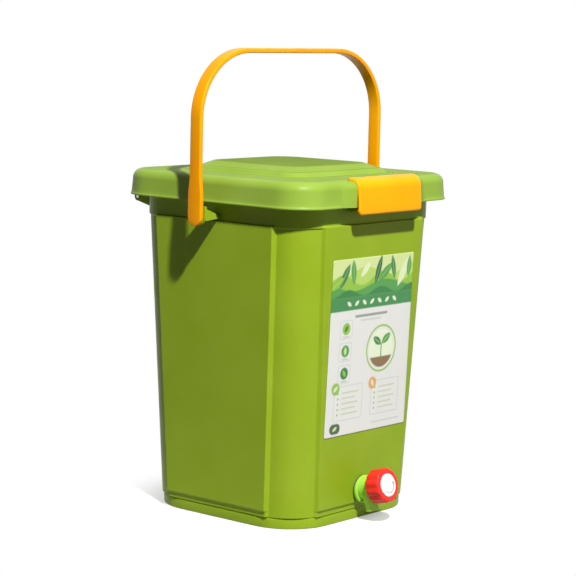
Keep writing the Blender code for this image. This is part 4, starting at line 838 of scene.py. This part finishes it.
def tail_grid():
    """The tail's thread: the radius falls and rises once for each pitch and turns with the angle."""
    angle = full_turn(48)
    height = np.linspace(TAIL_END + 1.2, -1, 66)[:, None]
    phase = np.mod(height / THREAD_PITCH - angle / math.tau, 1)
    fade = smooth((height - TAIL_END - 1.2) / 1.5)
    radius = TAIL_R - THREAD_DEEP * smooth(2 * np.abs(phase - 0.5)) * fade
    radius = np.concatenate([np.full((2, 48), TAIL_BORE_R), np.full((1, 48), TAIL_R - 0.9), radius,
                             np.full((2, 48), TAIL_R), np.full((1, 48), TAIL_BORE_R)])
    height = np.concatenate([[[-1.5], [TAIL_END], [TAIL_END]], height, [[-0.5], [4], [4]]])
    return rings(TAP_PLACE, WALL_OUT, height, radius, angle)


flange = surface("tap_flange", turned_grid(FLANGE, TAP_PLACE, WALL_OUT, 64))
seat(flange, *TAP, "tap_body")
seat(surface("tap_barrel", barrel_grid()), *TAP)
seat(surface("tap_spout", spout_grid(), ring=True), *TAP)
seat(surface("tap_tail", tail_grid(), ring=True), *TAP)

# %% [markdown]
# The knob is a red cup with grip flutes round its rim. Its radius is a turned profile less a flute: a
# rounded wave in the angle that fades out towards the front edge. A white cap closes the middle, and a
# small curved arrow is printed on it.

# %% The knob and its cap
KNOB_FLUTES, FLUTE_DEEP, KNOB_STEPS = 12, 1.1, 216
KNOB_PROFILE = (
    (39.9, 4.6, 0), (39.9, 13.6, 0), (40.1, 13.8, 0), (41.1, 13.8, 0), (41.4, 14.0, 0), (41.5, 14.4, 0),
    (41.5, 17.4, 0), (41.3, 18.6, 0.1), (40.8, 19.5, 0.4), (40, 20.1, 0.8), (39, 20.4, 1), (38, 20.5, 1),
    (32, 20.5, 1), (25.4, 20.5, 1), (24.4, 20.4, 0.9), (23.6, 20, 0.6), (23.2, 19.4, 0.2),
    (23.2, 17.6, 0), (23.5, 17.2, 0), (24, 17.1, 0), (35.3, 17.1, 0), (35.3, 6.5, 0), (26, 6.5, 0),
    (26, 3.9, 0), (35.3, 3.9, 0), (35.3, 1.6, 0), (37.7, 1.6, 0), (37.7, 4.6, 0))
CAP_PROFILE = ((40.2, 0.01), (40.2, 13.4), (41.2, 13.5), (41.6, 13.4), (41.85, 13), (42, 12), (42.1, 8),
               (42.15, 4), (42.15, 0.01))


def knob_grid():
    """The turned profile less the flutes, which are a raised cosine of the angle."""
    height, radius, depth = np.array(KNOB_PROFILE).T[..., None]
    angle = full_turn(KNOB_STEPS)
    wave = (0.5 + 0.5 * np.cos(KNOB_FLUTES * angle)) ** 1.2
    return rings(TAP_PLACE, VALVE_OUT, height, radius - FLUTE_DEEP * depth * wave, angle)


seat(surface("knob_cup", knob_grid(), ring=True), "knob_body", knob_plastic, "knob_red", "tap_knob")
cap = surface("knob_cap", turned_grid(CAP_PROFILE, TAP_PLACE, VALVE_OUT, 72))
seat(cap, "knob_body", cap_plastic, "disc_white", "tap_knob_disc")

# %% The arrow on the cap
ARROW_R, ARROW_FROM, ARROW_TO, ARROW_HALF, HEAD_HALF, HEAD_LONG = 9, -150, 4, 0.55, 1.9, 20
ARROW_UP = 42.2


def arrow_grid():
    """A band along a circle: it swells from a fine tail, and its last part narrows to a point."""
    degrees = np.concatenate([np.linspace(ARROW_FROM, ARROW_TO, 40), ARROW_TO + np.linspace(0, HEAD_LONG, 8)])
    share = (degrees - ARROW_FROM) / (ARROW_TO - ARROW_FROM)
    head = (ARROW_TO + HEAD_LONG - degrees) / HEAD_LONG
    half = np.where(np.arange(len(degrees)) < 40, ARROW_HALF * (0.3 + 0.7 * share), HEAD_HALF * head)
    across = np.array([-1, -0.33, 0.33, 1])
    radius = ARROW_R + half[:, None] * across
    angle = np.radians(degrees)[:, None]
    right, up = np.array((1, 0, 0)), -SPOUT_DOWN
    spot = radius[..., None] * (np.cos(angle)[..., None] * right + np.sin(angle)[..., None] * up)
    return (TAP_PLACE + VALVE_OUT * ARROW_UP + spot) * MM


arrow_ink, shader, place = new_material("pad printed ink grey")
worn = noise(arrow_ink, place, 2 * MM, 3)
shade = ramp(arrow_ink, worn, ((0.35, linear("#7F8896")), (0.7, linear("#A9B0BA"))))
wire(arrow_ink, shader, base_color=shade)
shader.inputs["Roughness"].default_value = 0.5
arrow = surface("cap_arrow", arrow_grid(), around=False)
seat(arrow, "knob_body", arrow_ink, "disc_white")

# %% [markdown]
# The label is a printed film on the front panel. Its print is worked out here as ink on a fine grid of
# points: each motif has a signed distance, which is negative inside it, and ink covers the paper where
# the distance is below zero. The grid's colours are kept on the mesh and the material reads them, so
# the print stays on the film at any pose. The design is a plain one: hills and leaves over a green
# strip, a seedling in a ring, small badges, and bars where a label carries its text.

# %% Distances to simple motifs
LABEL_WIDE, LABEL_LOW, LABEL_HIGH, LABEL_STEP = 150, 105.7, 311.6, 0.75
LABEL_TALL = LABEL_HIGH - LABEL_LOW
columns, rows = round(LABEL_WIDE / LABEL_STEP) + 1, round(LABEL_TALL / LABEL_STEP) + 1
U, V = np.meshgrid(np.linspace(0, LABEL_WIDE, columns), np.linspace(0, LABEL_TALL, rows))


def disc(u, v, radius):
    """Distance to a circle: distance from its centre less its radius."""
    return np.hypot(U - u, V - v) - radius


def bar(u, v, half_wide, half_tall, corner=0.0):
    """Distance to a rectangle with round corners about a centre."""
    a, b = np.abs(U - u) - half_wide + corner, np.abs(V - v) - half_tall + corner
    return np.hypot(np.maximum(a, 0), np.maximum(b, 0)) + np.minimum(np.maximum(a, b), 0) - corner


def leaf(u, v, length, width, degrees):
    """Distance to a pointed leaf: two circles of one radius overlap, and the leaf is where both are."""
    turn = math.radians(degrees)
    a = (U - u) * math.cos(turn) + (V - v) * math.sin(turn)
    b = -(U - u) * math.sin(turn) + (V - v) * math.cos(turn)
    radius = (length ** 2 + width ** 2) / (4 * width)
    return np.hypot(a, np.abs(b) + radius - width / 2) - radius


def outline(distance, width):
    """A line of the given width along a motif's edge."""
    return np.abs(distance) - width / 2


def hill(base, rise, wave, shift):
    """Distance below a rolling line: a cosine of u."""
    return V - base - rise * np.cos((U - shift) * math.tau / wave)


# %% The print
PAPER, DEEP, MID, FRESH, PALE, GREY, SOFT = (
    "#E7E6E1", "#2F7D3B", "#4E9A45", "#8FBF3A", "#D5E39B", "#7E8780", "#C9CDC8")
STRIP_LOW, STRIP_HIGH = 146, 161
INK_SOFT = 0.9
ink = np.ones((rows, columns, 3)) * linear(PAPER)[:3]


def lay(distance, code, strength=1.0):
    """Cover the paper with a colour where the distance is below zero."""
    cover = np.clip(0.5 - distance / INK_SOFT, 0, 1)[..., None] * strength
    ink[...] = ink * (1 - cover) + np.array(linear(code)[:3]) * cover


header = STRIP_HIGH - V
lay(header, PALE)
for base, rise, wave, shift, code in (
        (189, 6, 96, 60, "#B7D566"), (181, 7, 74, 18, FRESH), (173, 5, 110, 96, MID), (166, 4, 60, 30, DEEP)):
    lay(np.maximum(hill(base, rise, wave, shift), header), code)
for u, v, length, width, degrees, code in (
        (22, 186, 34, 10, 58, DEEP), (38, 190, 30, 9, 96, MID), (8, 178, 28, 9, 30, FRESH),
        (84, 190, 36, 9, 72, "#245F31"), (97, 186, 34, 10, 38, MID), (112, 191, 30, 8, 104, DEEP),
        (131, 184, 38, 11, 60, "#E6EFC0"), (142, 190, 26, 8, 86, MID), (60, 192, 24, 8, 44, "#E6EFC0")):
    blade = np.maximum(leaf(u, v, length, width, degrees), header)
    lay(blade, code)
    lay(np.maximum(leaf(u, v, length * 0.9, 0.7, degrees), header), PALE, 0.6)
lay(bar(75, (STRIP_LOW + STRIP_HIGH) / 2, 76, (STRIP_HIGH - STRIP_LOW) / 2), "#3A8746")
for step in range(7):
    lay(leaf(33 + 14 * step, 153.5, 9, 4.4, 35 if step % 2 else 145), "#E4EFD2")
lay(outline(disc(97, 96, 27), 2.2), FRESH)
lay(disc(97, 96, 22.5), "#EAF2D4")
lay(np.maximum(disc(97, 96, 22.5), V - 86), "#8A6A44")
lay(bar(97, 93, 0.9, 9), MID)
lay(leaf(89, 105.5, 18, 8.5, 148), DEEP)
lay(leaf(105.5, 107, 19, 9, 34), MID)
lay(leaf(89, 105.5, 16, 0.7, 148), PALE)
lay(leaf(105.5, 107, 17, 0.7, 34), PALE)
for index, (code, dark) in enumerate(((FRESH, DEEP), (MID, PALE), (DEEP, FRESH))):
    v = 124 - 26 * index
    lay(outline(bar(30, v, 11, 10.5, 3), 0.8), SOFT)
    lay(disc(30, v + 1, 7), code)
    lay(leaf(30, v + 1, 9.5, 4.6, 55 + 35 * index), dark)
    lay(bar(30, v - 8.4, 5.5, 0.55), GREY, 0.6)
for column, u in enumerate((40, 108)):
    lay(outline(bar(u, 38, 26, 20, 1.5), 0.8), SOFT)
    lay(disc(u - 24, 56, 7.2), (FRESH, "#E3A95B")[column])
    lay(leaf(u - 24, 56, 9.5, 4.2, 40 + 80 * column), PAPER)
    for line in range(5):
        v = 50 - 6.2 * line
        lay(disc(u - 19, v, 1.3), FRESH)
        lay(bar(u + 3 - 2.4 * (line % 2), v, 15 - 2.4 * (line % 2), 0.7), "#B5C38A", 0.75)
lay(bar(75, 138, 30, 1.5, 1.5), GREY, 0.85)
lay(bar(75, 132.6, 19, 0.8, 0.8), SOFT)
lay(bar(112, 8.5, 26, 0.7), SOFT)
lay(bar(18, 9, 9.5, 6, 6), "#3F5F3C")
lay(leaf(18, 9, 9, 4, 30), PALE)
print("label print:", rows, "by", columns, "points")

# %% The label's film
PANEL_AT_FLOOR = BODY_HALF + PANEL_STEP
FILM_GAP, FILM_THICK, FILM_CORNER = 0.35, 0.3, 1.6


def film_grid():
    """The grid laid on the drafted panel, with its four corners drawn in to a small radius."""
    u, v = U - LABEL_WIDE / 2, V + LABEL_LOW
    from_edge = np.minimum(V, LABEL_TALL - V)
    rise = np.clip(FILM_CORNER - from_edge, 0, FILM_CORNER)
    half = LABEL_WIDE / 2 - FILM_CORNER + np.sqrt(FILM_CORNER ** 2 - rise ** 2)
    x = u * half / (LABEL_WIDE / 2)
    y = -(PANEL_AT_FLOOR + DRAFT * v + FILM_GAP + FILM_THICK)
    return np.stack([x, y, v], -1) * MM


film = surface("label_film", film_grid(), around=False)
print_colours = film.data.color_attributes.new("print", "FLOAT_COLOR", "POINT")
places = np.empty(len(film.data.vertices) * 3)
film.data.vertices.foreach_get("co", places)
x, y, z = places.reshape(-1, 3).T / MM
row = np.clip(np.rint((z - LABEL_LOW) / LABEL_TALL * (rows - 1)).astype(int), 0, rows - 1)
reach = film_grid()[:, -1, 0] / MM
column = np.clip(np.rint((x / reach[row] + 1) / 2 * (columns - 1)).astype(int), 0, columns - 1)
rgba = np.concatenate([ink[row, column], np.ones((len(x), 1))], 1)
print_colours.data.foreach_set("color", rgba.astype(np.float32).ravel())
thickness = film.modifiers.new("film thickness", "SOLIDIFY")
thickness.thickness = FILM_THICK * MM
thickness.offset = -1

film_print, shader, place = new_material("polypropylene film printed and laminated")
colour = add(film_print, "Attribute", attribute_name="print").outputs["Color"]
lift = bumped(film_print, noise(film_print, place, 30 * MM, 1), 0.25, 0.6 * MM)
gloss = spread(film_print, noise(film_print, place, 12 * MM, 4), 0.28, 0.44)
wire(film_print, shader, base_color=colour, normal=lift, roughness=gloss)
seat(film, "bucket_body", film_print, "label_paper", "front_label")

# %% [markdown]
# The parts inside keep their CAD shapes, which are right, and only get their finishes: rubber seals,
# drawn steel pins, a pale strainer and the tap's small mouldings. Rubber is dull with a fine bloom.
# Steel pins show faint lines along X from drawing.

# %% Rubber, steel and the CAD's own parts
rubber, shader, place = new_material("EPDM rubber moulded grey")
bloom = noise(rubber, place, 6 * MM, 5)
shade = ramp(rubber, bloom, ((0.35, linear("#4A4C4A")), (0.65, linear("#5C5E5B"))))
grain = bumped(rubber, noise(rubber, place, 0.7 * MM), 0.15, 0.1 * MM)
wire(rubber, shader, base_color=shade, roughness=spread(rubber, bloom, 0.6, 0.85), normal=grain)

steel, shader, place = new_material("stainless steel drawn")
stretch = add(steel, "Mapping", {"Vector": place, "Scale": (1, 40, 40)})
lines = noise(steel, stretch.outputs[0], 20 * MM, 6)
shade = ramp(steel, lines, ((0.3, linear("#A9A9A7")), (0.7, linear("#C9C9C6"))))
wire(steel, shader, base_color=shade, roughness=spread(steel, lines, 0.22, 0.42))
shader.inputs["Metallic"].default_value = 1

NODE_FINISHES = {
    "strainer_plate": strainer_plastic, "lid_seal": rubber, "lid_hinge_pin": steel,
    "latch_hinge_pin": steel, "tap_outer_washer": rubber, "tap_inner_washer": rubber,
    "tap_lock_nut": tap_plastic, "tap_bonnet": tap_plastic, "tap_stem_o_ring": rubber,
    "tap_valve_washer": rubber, "tap_stem": cap_plastic, "tap_knob_screw": steel}
for name, material in NODE_FINISHES.items():
    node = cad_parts[name]
    node.data.materials.clear()
    node.data.materials.append(material)
print("finished CAD nodes:", len(NODE_FINISHES))

# %% [markdown]
# The photograph was lit by a high sun, over the camera's left shoulder and nearer the front: the front
# is brighter than the left side, and the lid's edge throws a short crisp shadow on both. A small strong
# lamp at that angle gives the same balance. A weak low lamp fills the shadows at the front, and another
# high behind shows the back. That one would lie as a glare on the lid, so reflections leave it out. The
# camera and reflections see a white floor that melts into the white background, while the bin itself
# gets light from a greyer one, so that its shadows stay deep.

# %% Light, floor and background
LAMPS = (("key", (-0.378, -0.583, 0.719), 0.12, 128), ("fill", (0.3, -1, 0.12), 1.2, 7),
         ("back", (0.4, 0.9, 0.85), 0.8, 18))
LAMP_DISTANCE, LOOK_AT = 3.0, Vector((0, 0, 0.25))
WORLD_STRENGTH = 0.035
FLOOR_SIZE, FLOOR_NEAR, FLOOR_FAR = 30, 0.05, 0.22
SHADE_NEAR, SHADE_FAR = 0.15, 0.45

for name, toward, size, watts in LAMPS:
    light = bpy.data.lights.new(name, "AREA")
    light.size, light.energy = size, watts
    lamp = bpy.data.objects.new(name, light)
    bpy.context.scene.collection.objects.link(lamp)
    lamp.location = LOOK_AT + Vector(toward).normalized() * LAMP_DISTANCE
    lamp.rotation_euler = Vector(toward).to_track_quat("Z", "Y").to_euler()
    lamp.visible_glossy = name != "back"


def larger(owner, one, other):
    """The larger of two outputs."""
    return add(owner, "Math", {0: one, 1: other}, operation="MAXIMUM").outputs[0]


def background_rays(owner):
    """1 for rays that show the background: the camera's, a mirror's and those through glass."""
    path = add(owner, "LightPath").outputs
    indirect = larger(owner, path["Is Glossy Ray"], path["Is Transmission Ray"])
    return larger(owner, path["Is Camera Ray"], indirect)


world = bpy.data.worlds.new("pale room")
bpy.context.scene.world = world
world.use_nodes = True
background = world.node_tree.nodes["Background"]
strength = spread(world, background_rays(world), WORLD_STRENGTH, 1)
world.node_tree.links.new(strength, background.inputs["Strength"])
background.inputs["Color"].default_value = (1, 1, 1, 1)

floor_paint, shader, place = new_material("dull paper roll white")
fibre = noise(floor_paint, place, 4 * MM, 3)
seen_shade = ramp(floor_paint, fibre, ((0.3, linear("#FBFBFA")), (0.7, linear("#FFFFFF"))))
seen = background_rays(floor_paint)
away = add(floor_paint, "VectorMath", {0: place}, operation="LENGTH").outputs["Value"]
near = spread(floor_paint, away, 0, 1, SHADE_NEAR, SHADE_FAR)
lit = add(floor_paint, "Mix", {0: near, 6: linear("#B2B2B0"), 7: linear("#5C5C5A")}, data_type="RGBA")
paint = add(floor_paint, "Mix", {0: seen, 6: lit.outputs[2], 7: seen_shade}, data_type="RGBA")
far = add(floor_paint, "MapRange", {"Value": away, "From Min": FLOOR_NEAR, "From Max": FLOOR_FAR},
          interpolation_type="SMOOTHSTEP")
white = add(floor_paint, "Math", {0: far.outputs[0], 1: seen}, operation="MULTIPLY")
glow = add(floor_paint, "Emission", {"Color": (1, 1, 1, 1), "Strength": 1})
both = add(floor_paint, "MixShader", {0: white.outputs[0], 1: shader.outputs[0], 2: glow.outputs[0]})
wire(floor_paint, shader, base_color=paint.outputs[2])
wire(floor_paint, floor_paint.node_tree.nodes["Material Output"], surface=both.outputs[0])
shader.inputs["Roughness"].default_value = 0.9
shader.inputs["Specular IOR Level"].default_value = 0.1
half = FLOOR_SIZE / 2
floor = link_mesh("floor", [(-half, -half, 0), (half, -half, 0), (half, half, 0), (-half, half, 0)],
                  [(0, 1, 2, 3)])
floor.data.materials.append(floor_paint)
